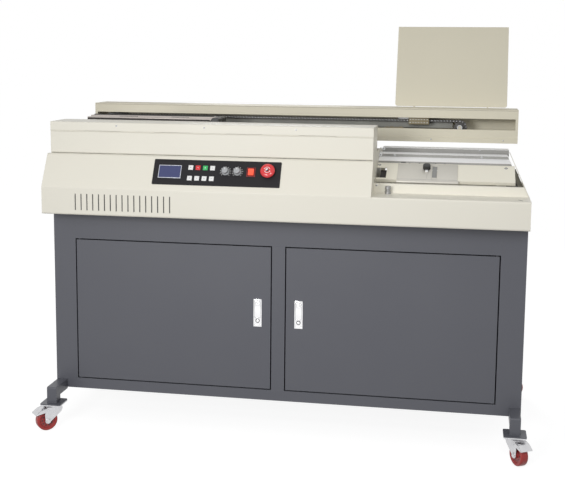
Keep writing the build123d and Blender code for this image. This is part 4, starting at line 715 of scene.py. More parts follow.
def control_place(node, height=0.0):
    """The frame of a node's joint, at a height over the console's surface."""
    if "pos_m" in joints.get(node, {}):
        return on_console(Vector(joints[node]["pos_m"]), h=height)
    return on_console(middle_of(node), h=height)


print("console leans", round(math.degrees(math.acos(console_out.z)), 1), "degrees")

# %% [markdown]
# ### Keys
# Two rows of shallow square caps with a plain sign each. The signs could be painted with an
# image. Thin plates on top of the caps need no file and stay sharp at any distance.

# %% Keys
def keys():
    """Two rows of square keys, of which one is red and one green."""
    looks = {6: red_plastic, 7: green_plastic}
    half = 7 * mm
    for i in range(1, 9):
        name = f"key_{i}"

        def cap(bm):
            foot, top = -4 * mm, FILM + 0.9 * mm
            add_box(bm, (-half, -half, foot), (half, half, top), 0.7 * mm, control_place(name), 3)

        piece(name, name, looks.get(i, white_plastic), cap, [name])

        def mark(bm):
            place = control_place(name, FILM + 0.85 * mm)
            size = 1.9 * mm
            if i % 2:
                triangle = arc((0, 0), size * 1.3, 90, 330, 2)
                add_plate(bm, triangle, 0, 0.1 * mm, 0, place)
            else:
                add_box(bm, (-size, -size * 0.3, 0), (size, size * 0.3, 0.1 * mm), 0, place)

        piece(name + "_mark", name, grey_plastic if i not in looks else white_plastic, mark)


keys()

# %% [markdown]
# ### Knobs
# A grey knob has a turned skirt and a fluted grip. The grip is one outline pushed up, which
# gives crisp flutes for few faces. The ticks round it are spread over the range of its joint.

# %% Knobs
def knob(name):
    """A fluted grip on a stepped skirt, with a white pointer."""
    place = control_place(name)
    base = FILM + 0.4 * mm

    def body(bm):
        skirt = [(0, base), (11.6 * mm, base), (11.6 * mm, base + 1.4 * mm),
                 (9.8 * mm, base + 3.0 * mm), (0, base + 3.0 * mm)]
        add_spun(bm, skirt, place, 48)
        add_plate(bm, fluted(9.0 * mm, 8.3 * mm, 16), base + 2.5 * mm, base + 13 * mm, 0.35 * mm, place)
        cap = [(0, base + 13.6 * mm), (6.8 * mm, base + 13.4 * mm), (7.6 * mm, base + 12.8 * mm)]
        add_spun(bm, cap, place, 48)

    def pointer(bm):
        half = 0.7 * mm
        add_box(bm, (-half, 2 * mm, base + 13.2 * mm), (half, 8.6 * mm, base + 13.8 * mm), 0.2 * mm, place)

    piece(name, name, grey_plastic, body, [name], soft=30)
    piece(name + "_pointer", name, white_plastic, pointer)


def dial_ticks(name):
    """White ticks on the film round a knob, over its turning range."""
    place = control_place(name)
    first, last = joints[name]["range_deg"]
    count = 11
    half, inner, outer, ink = 0.6 * mm, 13.0 * mm, 16.2 * mm, 0.08 * mm

    def ticks(bm):
        for i in range(count):
            angle = math.radians(first + (last - first) * i / (count - 1))
            spot = place @ Matrix.Rotation(angle, 4, "Z")
            add_box(bm, (-half, inner, FILM), (half, outer, FILM + ink), 0, spot)

    piece(name + "_ticks", "machine", white_plastic, ticks)


for name in ("knob_1", "knob_2"):
    knob(name)
    dial_ticks(name)

# %% [markdown]
# ### Rocker
# The main switch is a rocker that glows. Its dished section is run across its width, because
# the dish is a bend in one direction only.

# %% Rocker
def rocker():
    """A dished rocker that glows, in a dark red frame."""
    half_x, half_y = 8 * mm, 9.6 * mm
    place = control_place("rocker")

    def frame_ring(bm):
        add_frame(bm, 12.5 * mm, 14.0 * mm, 4.0 * mm, FILM - 0.5 * mm, FILM + 1.8 * mm, 0.4 * mm, place)

    def body(bm):
        top = FILM + 5.6 * mm
        dish = top - 1.6 * mm
        foot, flat = 0.3 * mm, half_y * 0.3
        left = [(-half_y, foot), (-half_y, top), (-flat, dish)]
        outline = [*left, *[(-y, z) for y, z in reversed(left)]]
        add_plate(bm, outline, -half_x, half_x, 0.6 * mm, place @ ALONG_X)

    piece("rocker", "rocker", lit_red, body, ["rocker"], soft=30)
    piece("rocker_frame", "machine", dark_red, frame_ring)


rocker()

# %% [markdown]
# ### Stop button
# A red mushroom on a narrow stem, turned from one profile. The arrows on its head tell the
# operator to twist it free. They are flat bands laid on the crown, since lines drawn by a
# texture would blur.

# %% Stop button
def stop_button():
    """A red mushroom with two turning arrows. Its row lies a little above the knobs'."""
    above_knobs = 2.5 * mm
    place = on_console(KNOB_POINT, middle_of("stop_button").x - KNOB_POINT.x, above_knobs)
    radius, stem = 21 * mm, 7.2 * mm
    head = FILM + 6.5 * mm
    crest = head + 9.0 * mm

    def mushroom(bm):
        dome = [(0, head + 10 * mm), (radius * 0.55, head + 9.4 * mm), (radius * 0.8, head + 8 * mm),
                (radius * 0.95, head + 5.6 * mm), (radius, head + 3.4 * mm), (radius, head + 1 * mm),
                (radius * 0.93, head), (10 * mm, head), (stem, head - 2 * mm), (stem, FILM - 1 * mm)]
        add_spun(bm, dome, place, 64)

    def collar(bm):
        inner, outer = 10.4 * mm, 15 * mm
        ring = [(inner, FILM), (inner, FILM + 1 * mm), (outer - 1 * mm, FILM + 1 * mm),
                (outer, FILM + 0.4 * mm), (outer, FILM)]
        add_ring(bm, ring, place)

    def arrows(bm):
        sweep, outside, inside = 125, 9.0 * mm, 7.6 * mm
        point = [(-2.2 * mm, 0), (2.2 * mm, 0), (0, 3.4 * mm)]
        for start in (20, 200):
            spin = place @ Matrix.Rotation(math.radians(start), 4, "Z")
            band = [*arc((0, 0), outside, 0, sweep, 12), *arc((0, 0), inside, sweep, 0, 12)]
            add_plate(bm, band, crest, crest + 1.05 * mm, 0, spin)
            turn = Matrix.Rotation(math.radians(sweep + 2), 4, "Z")
            tip = spin @ turn @ Matrix.Translation(((outside + inside) / 2, 0, 0))
            add_plate(bm, point, crest, crest + 1.05 * mm, 0, tip)

    def half_disc(bm, turn):
        spin = place @ Matrix.Rotation(math.radians(turn), 4, "Z")
        add_plate(bm, arc((0, 0), 4.6 * mm, 0, 180, 12), crest + 0.6 * mm, crest + 1.4 * mm, 0, spin)

    def centre(bm):
        half_disc(bm, 225)

    def centre_white(bm):
        half_disc(bm, 45)

    piece("stop_button", "stop_button", red_plastic, mushroom, ["stop_button"], soft=60)
    piece("stop_arrows", "stop_button", white_plastic, arrows)
    piece("stop_centre", "stop_button", black_plastic, centre)
    piece("stop_centre_white", "stop_button", white_plastic, centre_white)
    piece("stop_collar", "machine", black_plastic, collar)


stop_button()

# %% [markdown]
# ### Display
# A blue display behind a flat window. The bezel could be a plate with a cut-out, but four bars
# frame a window just as well and keep every face a rectangle.

# %% Display
def display():
    """A silver bezel round a flat blue display."""
    low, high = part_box("screen")
    half = (high.x - low.x) / 2
    middle = (low + high) / 2
    place = on_console(middle)
    height, width = 20 * mm, 1.8 * mm
    foot = FILM - 0.5 * mm

    def bezel(bm):
        add_frame(bm, half, height, width, foot, FILM + 1.4 * mm, 0.3 * mm, place)

    def glass(bm):
        right, top = half - width, height - width
        add_box(bm, (-right, -top, foot), (right, top, FILM + 0.5 * mm), 0, place)

    piece("display_bezel", "machine", bezel_silver, bezel, ["screen"])
    piece("display_glass", "machine", display_blue, glass)


display()

# %% [markdown]
# ## Roller chain and sprockets
# The chain runs round two thirteen-tooth sprockets inside the beam. Links alternate between
# inner and outer plates, and each pair of plates has a waist. A plain belt would be simpler,
# but the beam is open at the front and the links can be counted there. The loop starts at the
# top of the right-hand sprocket.

# %% The chain's path
TEETH = 13
PITCH = 9.525 * mm
ROLLER = 3.1 * mm
ROLLER_HALF = 2.8 * mm
PLATE = 1.0 * mm
PITCH_RADIUS = PITCH / 2 / math.sin(math.pi / TEETH)

idler = Vector(joints["idler_sprocket"]["pos_m"])
drive = Vector(joints["drive_sprocket"]["pos_m"])
run_pitches = (idler.x - drive.x) / PITCH
link_count = round(2 * run_pitches + TEETH)
print("links", link_count, "pitch radius", round(PITCH_RADIUS / mm, 2), "mm")


def chain_point(step):
    """Where a roller sits, some pitches round the loop."""
    step = step % link_count
    wrap = TEETH / 2
    turn = math.tau / TEETH
    if step <= wrap:
        angle = math.pi / 2 - step * turn
        return idler + Vector((math.cos(angle), 0, math.sin(angle))) * PITCH_RADIUS
    step -= wrap
    if step <= run_pitches:
        return idler + Vector((-step * PITCH, 0, -PITCH_RADIUS))
    step -= run_pitches
    if step <= wrap:
        angle = -math.pi / 2 - step * turn
        return drive + Vector((math.cos(angle), 0, math.sin(angle))) * PITCH_RADIUS
    return drive + Vector(((step - wrap) * PITCH, 0, PITCH_RADIUS))


def link_frame(step):
    """A frame at a roller: local X along its link, local Z across the chain."""
    here, there = chain_point(step), chain_point(step + 1)
    along = (there - here).normalized()
    across = Vector((0, 1, 0))
    return Matrix.Translation(here) @ turn_to(along, across.cross(along), across)

# %% [markdown]
# ### Links and rollers
# A link has a plate on each side, with round ends and a waist. Each plate could be an object
# of its own, but two meshes hold them all, so that the scene stays small. The rollers and the
# bright ends of the pins are rods across the chain.

# %% Links and rollers
def plate_outline():
    """A link plate: two round ends joined by a waist."""
    end, waist = 4.0 * mm, 2.9 * mm
    left = arc((0, 0), end, 50, 310, 8)
    right = arc((PITCH, 0), end, -130, 130, 8)
    return [*left, (PITCH / 2, -waist), *right, (PITCH / 2, waist)]


def chain_links(first, last, name):
    """Side plates of every link, in two pieces so that each stays light."""
    outline = plate_outline()

    def plates(bm):
        for step in range(first, last):
            place = link_frame(step)
            near = ROLLER_HALF + (0.05 * mm if step % 2 else PLATE + 0.1 * mm)
            add_plate(bm, outline, near, near + PLATE, 0, place)
            add_plate(bm, outline, -near - PLATE, -near, 0, place)

    piece(name, "machine", oiled_steel, plates, ["chain"], soft=30)


def chain_rollers():
    """A roller and a bright pin at every joint of the chain."""
    pin = ROLLER_HALF + 2 * PLATE + 0.6 * mm

    def rollers(bm):
        for step in range(link_count):
            place = link_frame(step)
            add_rod(bm, ROLLER, -ROLLER_HALF, ROLLER_HALF, 0, place, 16)

    def pins(bm):
        for step in range(link_count):
            place = link_frame(step)
            add_rod(bm, 1.6 * mm, -pin, pin, 0, place, 10)

    piece("chain_rollers", "machine", oiled_steel, rollers)
    piece("chain_pins", "machine", bright_pin, pins)


half_loop = link_count // 2
chain_links(0, half_loop, "chain_plates_a")
chain_links(half_loop, link_count, "chain_plates_b")
chain_rollers()

# %% [markdown]
# ### Sprockets
# Thirteen teeth, a dark hub with four rivets and a pale bearing ring. Teeth could be copied
# round a disc. One outline that runs from valley to crest is simpler, and each valley is an
# arc round the seat of a roller.

# %% Sprockets
def sprocket(name, centre, first):
    """Teeth cut between roller seats, a dark hub with four rivets, and a pale bearing ring."""
    place = Matrix.Translation(centre) @ Matrix.Rotation(math.pi / 2, 4, "X")
    seat = ROLLER + 0.25 * mm
    tip = PITCH_RADIUS + 1.9 * mm
    outline = []
    for i in range(TEETH):
        middle = first + 360 * i / TEETH
        turn = math.radians(middle)
        away = (PITCH_RADIUS * math.cos(turn), PITCH_RADIUS * math.sin(turn))
        valley = arc(away, seat, middle + 260, middle + 100, 8)
        half = 360 / TEETH / 2
        crest = arc((0, 0), tip, middle + half - 2.6, middle + half + 2.6, 2)
        outline += [*valley, *crest]
    half_width = 2.5 * mm

    def teeth(bm):
        add_plate(bm, outline, -half_width, half_width, 0.35 * mm, place)

    def ring(bm):
        inner, outer, low, high = 5.4 * mm, 8.2 * mm, 2.4 * mm, 5.6 * mm
        edge = 0.4 * mm
        shape = [(inner, low), (inner, high), (outer - edge, high), (outer, high - 0.6 * mm), (outer, low)]
        add_ring(bm, shape, place)

    def hub(bm):
        add_rod(bm, 12.4 * mm, 2.4 * mm, 4.0 * mm, 0.4 * mm, place, 48)
        for i in range(4):
            spin = place @ Matrix.Rotation(math.tau * i / 4, 4, "Z") @ Matrix.Translation((11 * mm, 0, 0))
            add_rod(bm, 0.9 * mm, 3.9 * mm, 4.4 * mm, 0.1 * mm, spin, 12)

    piece(name + "_teeth", name, oiled_steel, teeth, [name], soft=30)
    piece(name + "_hub", name, oiled_steel, hub)
    piece(name + "_ring", name, nylon, ring)


sprocket("idler_sprocket", idler, 90)
sprocket("drive_sprocket", drive, -90)

# %% [markdown]
# ## Book clamp
# Two long jaws of folded stainless sheet hold the book's pages. Each has a raised edge along
# the book. A profile run along X gives a jaw, and its right end is then pushed back on a
# slant, which is simpler than cutting it. The front jaw slides on two chromed rods.

# %% Clamp sizes
FRONT_LOW, FRONT_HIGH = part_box("front_jaw")
JAW_DEPTH = 45 * mm
JAW_GAP = 10 * mm
CLAMP_LEFT = FRONT_LOW.x
CLAMP_RIGHT = FRONT_HIGH.x - 19 * mm
CAP_LENGTH = 20 * mm
JAW_SLANT = 26 * mm
FOLD_DROP = 3.5 * mm
LIP_WIDTH = 13 * mm
ROD_RADIUS = 5 * mm
ROD_PLACES = [CLAMP_LEFT + 20 * mm, CLAMP_LEFT + 392 * mm]
ROD_HEIGHT = FRONT_HIGH.z - 15 * mm
GRADUATED = [(CLAMP_LEFT + first * mm, CLAMP_LEFT + last * mm) for first, last in ((96, 152), (264, 316))]
REAR_JAW = FRONT_LOW.y + JAW_DEPTH + JAW_GAP
print("clamp", round((CLAMP_RIGHT - CLAMP_LEFT) / mm), "mm long")

# %% Front jaw
def jaw_profile(front):
    """The jaw's section in (y, z), with its raised edge towards the book."""
    low, top = FRONT_LOW.z, FRONT_HIGH.z
    drop, lip, fold = FOLD_DROP, LIP_WIDTH, 1.5 * mm
    if front:
        y = FRONT_LOW.y
        edge = y + JAW_DEPTH
        return [
            (y, low), (y, top - drop - fold), (y + fold, top - drop), (edge - lip - fold, top - drop),
            (edge - lip, top), (edge, top), (edge, low),
        ]
    y = REAR_JAW
    back = y + JAW_DEPTH
    return [
        (y, low), (y, top), (y + lip, top), (y + lip + fold, top - drop),
        (back - fold, top - drop), (back, top - drop - fold), (back, low),
    ]


def slanted(bm, profile, left, right):
    """A profile run along X, with its right end sloping back towards its foot."""
    add_plate(bm, profile, left, right, 0.4 * mm, ALONG_X)
    low, top = FRONT_LOW.z, FRONT_HIGH.z
    for vert in bm.verts:
        if vert.co.x > right - 2 * mm:
            vert.co.x -= JAW_SLANT * (top - vert.co.z) / (top - low)


def front_jaw():
    """The front jaw and the two rods that it slides on."""
    def body(bm):
        slanted(bm, jaw_profile(True), CLAMP_LEFT, CLAMP_RIGHT - CAP_LENGTH)

    def rods(bm):
        for x in ROD_PLACES:
            reach = facing_back(x, 0, ROD_HEIGHT)
            add_rod(bm, ROD_RADIUS, FRONT_LOW.y + JAW_DEPTH - 1 * mm, FRONT_HIGH.y, 0.6 * mm, reach)

    piece("front_jaw_body", "front_jaw", clamp_steel, body, ["front_jaw"])
    piece("front_jaw_rods", "front_jaw", chrome, rods)


front_jaw()

# %% [markdown]
# ### Carriage
# The rear jaw rides on the carriage. Its arm reaches through the beam's slot to a slider that
# holds the rail on three sides, and a lug ties it to the chain. Plain boxes are enough, since
# only slivers of them show through the slot.

# %% Carriage
def carriage():
    """The rear jaw, its arm with the slider and the chain's lug, and the rods' collars."""
    back = REAR_JAW + JAW_DEPTH
    left, right = CLAMP_LEFT + 50 * mm, CLAMP_LEFT + 230 * mm
    rail_low, rail_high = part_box("rail")
    front = rail_low.y
    middle, wall, gap = (rail_low.z + rail_high.z) / 2, 5 * mm, 0.3 * mm
    half = (rail_high.z - rail_low.z) / 2 + gap
    behind = front + 15 * mm + gap

    def body(bm):
        slanted(bm, jaw_profile(False), CLAMP_LEFT, CLAMP_RIGHT - CAP_LENGTH)

    def arm(bm):
        width = 0.6 * mm
        outer = half + wall
        groove = 3.3 * mm
        add_box(bm, (left, back - 1 * mm, middle - 3.5 * mm), (right, front - 2 * mm, middle + 1 * mm), width)
        near = front - wall - 3 * mm
        add_box(bm, (left, near, middle - outer), (right, front - gap, middle + outer), width)
        for low, high in ((half, outer), (-outer, -half)):
            add_box(bm, (left, front - gap, middle + low), (right, behind + wall, middle + high), width)
        for low, high in ((groove, half), (-half, -groove)):
            add_box(bm, (left, behind, middle + low), (right, behind + wall, middle + high), width)
        lug_left, lug_right = left + 60 * mm, left + 120 * mm
        add_box(bm, (lug_left, 146 * mm, middle), (lug_right, 154 * mm, middle + 9.8 * mm), width)

    piece("carriage_jaw", "carriage", clamp_steel, body, ["carriage"])
    piece("carriage_arm", "carriage", zinc, arm)
    piece("carriage_collars", "carriage", black_plastic, rod_collars)


def rod_collars(bm):
    """Where the rods come out of the rear jaw's back."""
    back = REAR_JAW + JAW_DEPTH
    for x in ROD_PLACES:
        place = facing_back(x, back, ROD_HEIGHT)
        inside, outside = ROD_RADIUS + 0.2 * mm, ROD_RADIUS + 3 * mm
        ring = [(inside, 0), (inside, 1.2 * mm), (outside, 1.2 * mm), (outside, 0)]
        add_ring(bm, ring, place, 32)


carriage()

# %% [markdown]
# ### Jaw fittings
# Both jaws have a moulded black end, a dark facing of rubber towards the book and two groups of
# graduations, and the front jaw has a dark strip of painted shade along its face. The marks could
# be an image on the steel. Thin bars laid on it need no file, and one loop draws them all.

# %% Jaw fittings
def jaw_fittings(node, front):
    """The end, the facing and the graduations of one jaw, and the front jaw's strip of painted shade."""
    low, top = FRONT_LOW.z, FRONT_HIGH.z
    y = FRONT_LOW.y if front else REAR_JAW
    edge = y + JAW_DEPTH if front else y
    away = 1 if front else -1
    body_right = CLAMP_RIGHT - CAP_LENGTH

    def cap(bm):
        joint = body_right + 0.1 * mm
        outline = [
            (joint, top - 0.6 * mm), (CLAMP_RIGHT - 3 * mm, top - 0.6 * mm), (CLAMP_RIGHT, top - 4 * mm),
            (CLAMP_RIGHT - 2 * mm, low), (joint - JAW_SLANT, low),
        ]
        add_plate(bm, outline, y, y + JAW_DEPTH, 1.2 * mm, ALONG_Y)

    def rubber(bm):
        inner, outer = sorted((edge + away * 0.05 * mm, edge + away * 1.6 * mm))
        height = top + 0.4 * mm if front else top + 2.6 * mm
        right = body_right - 8 * mm
        add_box(bm, (CLAMP_LEFT + 4 * mm, inner, low + 3 * mm), (right, outer, height), 0.3 * mm)
        # The front jaw's dark strip is painted shade along its face.
        if front:
            corner = (CLAMP_LEFT + 1 * mm, y - 0.5 * mm, top - 11.6 * mm)
            add_box(bm, corner, (right, y + 0.2 * mm, top - 6.0 * mm), 0.1 * mm)

    def marks(bm):
        start = edge - away * LIP_WIDTH
        surface, half, spacing = top - FOLD_DROP, 0.7 * mm, 4 * mm
        for left, right in GRADUATED:
            count = round((right - left) / spacing)
            for i in range(count + 1):
                length = (11 if i % 5 == 0 else 6) * mm
                x = left + i * spacing
                inner, outer = sorted((start - away * 1.5 * mm, start - away * (1.5 * mm + length)))
                add_box(bm, (x - half, inner, surface - 0.1 * mm), (x + half, outer, surface + 0.05 * mm))
                near, far = sorted((start - away * 0.2 * mm, start - away * 1.6 * mm))
                add_box(bm, (x - half, near, surface), (x + half, far, surface + 2.4 * mm))

    piece(node + "_cap", node, black_plastic, cap)
    piece(node + "_rubber", node, dark_rubber_and_shade, rubber)
    piece(node + "_marks", node, black_plastic, marks)


jaw_fittings("front_jaw", True)
jaw_fittings("carriage", False)

# %% [markdown]
# ## Inside the beam
# A khaki guide block and a white nylon one carry the chain's upper run, and a brown foot of
# the guide shows at the slot's lower edge. The block's two rows of holes could be drilled.
# Pale discs on its face read the same at this size and leave its mesh simple.

# %% Chain guides
BEAM_LOW, BEAM_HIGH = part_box("beam")
BEAM_FRONT = 117 * mm
SLOT_LOW = 905 * mm
RUN = drive.z + PITCH_RADIUS


def chain_guides():
    """A khaki block with two rows of holes, a nylon block and the guide's foot."""
    low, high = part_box("chain_guides")
    split = 342.5 * mm
    channel = 6.4 * mm

    def khaki(bm):
        add_box(bm, (split, low.y, low.z), (high.x, -channel + idler.y, high.z), 0.8 * mm)
        add_box(bm, (split, idler.y + channel, low.z), (high.x, high.y, high.z), 0.8 * mm)
        add_box(bm, (split, idler.y - channel, RUN + 12 * mm), (high.x, idler.y + channel, high.z), 0.5 * mm)

    def holes(bm):
        for i in range(7):
            for z in (low.z + 6 * mm, low.z + 15.5 * mm):
                spot = facing_front(split + (5 + i * 8.7) * mm, low.y + 0.4 * mm, z)
                add_rod(bm, 1.7 * mm, 0, 0.6 * mm, 0.1 * mm, spot, 12)

    def white(bm):
        half, right = 10 * mm, split - 0.1 * mm
        add_box(bm, (low.x, idler.y - half, RUN + 4.6 * mm), (right, idler.y + half, high.z), 0.8 * mm)

    def foot(bm):
        near, far, bottom = BEAM_FRONT + 3 * mm, BEAM_FRONT + 9 * mm, SLOT_LOW - 3 * mm
        pad, pitch = 11 * mm, 14 * mm
        for i in range(4):
            x = 272 * mm + i * pitch
            top = SLOT_LOW + (3.5 + i % 2) * mm
            add_box(bm, (x, near, bottom), (x + pad, far, top), 0.6 * mm)
        add_box(bm, (268.5 * mm, near, bottom), (328 * mm, far, SLOT_LOW + 1.5 * mm), 0.4 * mm)

    piece("guide_block", "machine", guide_plastic, khaki, ["chain_guides"])
    piece("guide_holes", "machine", nylon, holes)
    piece("guide_nylon", "machine", nylon, white)
    piece("guide_foot", "machine", guide_plastic, foot)


paint(nodes["rail"], dull_rail)
chain_guides()

# %% Seam shadow and skirt screws
def beam_trim():
    """A painted shadow line along the seam under the beam's top."""
    def seam(bm):
        add_box(bm, (BEAM_LOW.x + 3 * mm, BEAM_FRONT - 0.25 * mm, BEAM_HIGH.z - 3.4 * mm),
                (BEAM_HIGH.x - 3 * mm, BEAM_FRONT + 0.1 * mm, BEAM_HIGH.z - 2.6 * mm))

    piece("beam_seam_shadow", "machine", seam_shadow, seam)


beam_trim()
skirt = [facing_front(x * mm, 115.5 * mm, 873 * mm) for x in (413.6, 632.8, -180, 120)]
screws("skirt_screws", "machine", skirt, 2.4 * mm, 1.4 * mm, zinc)

# %% [markdown]
# ## Hood
# Three small screws hold the hood's top cover to its front strip. They differ only in their
# place along the machine, so one list makes them.

# %% Hood
strip_face = -228 * mm
strip = [facing_front(x * mm, strip_face, 917.5 * mm) for x in (-485.6, -221.8, 46)]
screws("strip_screws", "machine", strip, 2.8 * mm, 1.5 * mm, zinc)

# %% [markdown]
# ## Cover station
# The cover lies on a sloping table. Parts on it could be built level and then tilted one by
# one. Instead the table gets a frame with X along the machine, Y up the slope and Z out of it,
# and whatever is drawn in that frame lies flat on the slope.

# %% Station frame
TABLE_FRONT = Vector((0, -146, 775)) * mm
TABLE_BACK = Vector((0, -66, 814.5)) * mm
table_up = (TABLE_BACK - TABLE_FRONT).normalized()
table_out = console_right.cross(table_up)
TABLE_FRAME = Matrix.Translation(TABLE_FRONT) @ turn_to(console_right, table_up, table_out)


def on_table(x, s):
    """A frame on the table, at a place along the machine and a distance up the slope."""
    return TABLE_FRAME @ Matrix.Translation((x, s, 0))


print("table slopes", round(math.degrees(math.acos(table_out.z)), 1), "degrees")

# %% [markdown]
# ### Gauge
# A sheet with a window for its scale, hooked over the table's front edge and locked by a black
# fluted knob. Four boxes leave the window open without a cut. The hook is a section run along
# the machine.

# %% Gauge
def gauge():
    """A plate with a window, a lip hooked over the table's front edge, and scribed lines."""
    low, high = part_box("gauge")
    left, right = low.x, high.x
    front, top = -2.3 * mm, 84 * mm
    sheet, base = 2 * mm, 0.05 * mm
    window_left, window_right, window_low, window_high = 426 * mm, 442 * mm, 12 * mm, 72 * mm

    def plate(bm):
        width = 0.5 * mm
        above = base + sheet
        add_box(bm, (left, front, base), (window_left, top, above), width, TABLE_FRAME)
        add_box(bm, (window_right, front, base), (right, top, above), width, TABLE_FRAME)
        add_box(bm, (window_left, front, base), (window_right, window_low, above), 0, TABLE_FRAME)
        add_box(bm, (window_left, window_high, base), (window_right, top, above), 0, TABLE_FRAME)

    def lip(bm):
        section = [(front, 2.0 * mm), (-9.5 * mm, 1.2 * mm), (-11 * mm, -1.5 * mm), (-11 * mm, -3.5 * mm),
                   (-9.8 * mm, -3.5 * mm), (-9.6 * mm, -1.0 * mm), (-8.6 * mm, 0.0), (front, 0.6 * mm)]
        add_plate(bm, section, left - 0.5 * mm, right + 3 * mm, 0.2 * mm, TABLE_FRAME @ ALONG_X)

    def scale(bm):
        corner = (window_left + 1 * mm, window_low + 0.5 * mm, 0.1 * mm)
        other = (window_right - 1 * mm, window_high - 0.5 * mm, 0.6 * mm)
        add_box(bm, corner, other, 0, TABLE_FRAME)

    def scribed(bm):
        inset = 0.2 * mm
        add_box(bm, (412.6 * mm, 6 * mm, sheet), (413.2 * mm, 31 * mm, sheet + 0.12 * mm), 0, TABLE_FRAME)
        corner = (right - inset, 1.2 * mm, sheet + 0.1 * mm)
        add_box(bm, (left + inset, 0.4 * mm, sheet), corner, 0, TABLE_FRAME)

    piece("gauge_plate", "gauge", gauge_steel, plate, ["gauge"])
    piece("gauge_lip", "gauge", gauge_steel, lip)
    piece("gauge_scale", "gauge", window_grey, scale)
    piece("gauge_lines", "gauge", window_grey, scribed)

# %% The gauge's knob
def gauge_knob():
    """A fluted black knob that locks the gauge, and a small white block in front of it."""
    place = on_table(411 * mm, 55 * mm)

    def grip(bm):
        low, high = 2.4 * mm, 18.3 * mm
        add_plate(bm, fluted(11 * mm, 10.3 * mm, 18), low + 3 * mm, high - 1 * mm, 0.5 * mm, place)
        crown = [(0, high), (6 * mm, high), (9.6 * mm, high - 0.8 * mm), (10 * mm, high - 2 * mm)]
        add_spun(bm, crown, place, 40)
        add_spun(bm, [(0, low), (8 * mm, low), (8 * mm, low + 3.5 * mm), (0, low + 3.5 * mm)], place, 40)

    # A small white block in front of the knob.
    def white_block(bm):
        add_box(bm, (-4.2 * mm, -17 * mm, 2.2 * mm), (4.2 * mm, -8.4 * mm, 7.5 * mm), 1.6 * mm, place, 3)

    piece("gauge_knob", "gauge_knob", black_plastic, grip, ["gauge_knob"], soft=30)
    piece("gauge_white_block", "gauge", white_plastic, white_block)


gauge()
gauge_knob()

# %% [markdown]
# ### Table fittings
# Two square-socket screws are sunk flush with the table, because the gauge slides over them.
# Their heads are thin discs, which is all that a sunk screw shows, and their sockets are dark
# rings of painted shade. Dark plates of painted shade fill the recess at the table's left and a
# gap at its right, and flat plates close the station at its right end, one of them in a
# grey-brown of painted shade.

# %% Table fittings
FLUSH, LINE = 0.03 * mm, 0.045 * mm


def socket_screw(bm, place, radius):
    """A head sunk flush with the table, so that the gauge slides over it."""
    add_spun(bm, [(0, FLUSH), (radius, FLUSH), (radius, -0.5 * mm)], place, 24)


def square_socket(bm, place, half):
    """A dark square ring of painted shade for the socket, set on its corner."""
    line = half * 0.42
    for quarter in range(4):
        spin = place @ Matrix.Rotation(math.pi / 4 + quarter * math.pi / 2, 4, "Z")
        add_box(bm, (-half, half - line, 0.0), (half, half, LINE), 0, spin)


def table_fittings():
    """Two sunk screws, dark plates of painted shade in the recess at the table's left and in a gap, and the
    station's right end in painted shade.
    """
    corners = [on_table(272 * mm, 77 * mm), on_table(637.1 * mm, 75.4 * mm)]

    def heads(bm):
        for place in corners:
            socket_screw(bm, place, 5.6 * mm)

    def sockets(bm):
        for place in corners:
            square_socket(bm, place, 3.6 * mm)

    # A dark plate of painted shade under the recess at the table's left.
    def recess(bm):
        add_box(bm, (277 * mm, 2 * mm, -11 * mm), (296 * mm, 62 * mm, -9 * mm), 0, TABLE_FRAME)

    # An end plate in a grey-brown of painted shade.
    def end_plate(bm):
        outline = [(640 * mm, 741 * mm), (694 * mm, 741 * mm), (665 * mm, 806 * mm), (640 * mm, 806 * mm)]
        add_plate(bm, outline, -64 * mm, -62 * mm, 0, ALONG_Y)

    # A dark plate of painted shade in the gap at the station's right end.
    def gap(bm):
        outline = [(662.4 * mm, 758 * mm), (672 * mm, 758 * mm), (662.4 * mm, 781 * mm)]
        add_plate(bm, outline, -149 * mm, -146 * mm, 0, ALONG_Y)

    piece("table_screws", "machine", table_metal, heads)
    piece("table_sockets", "machine", black_plastic, sockets)
    piece("station_recess", "machine", dark_rubber_and_shade, recess)
    piece("station_end", "machine", shaded_cream, end_plate)
    piece("station_gap", "machine", dark_rubber_and_shade, gap)


table_fittings()

# %% [markdown]
# ### Nip bars
# Two ground steel bars press the cover against the book's spine. The front one is a section
# run along the machine. Its right end follows a leaning cheek, so the finished end is moved
# rather than cut. The tops are a near white of painted highlight, and thin plates of painted
# shade on the bars' upright faces set them off.

# %% Nip bars
CHEEK_LEAN = 0.46


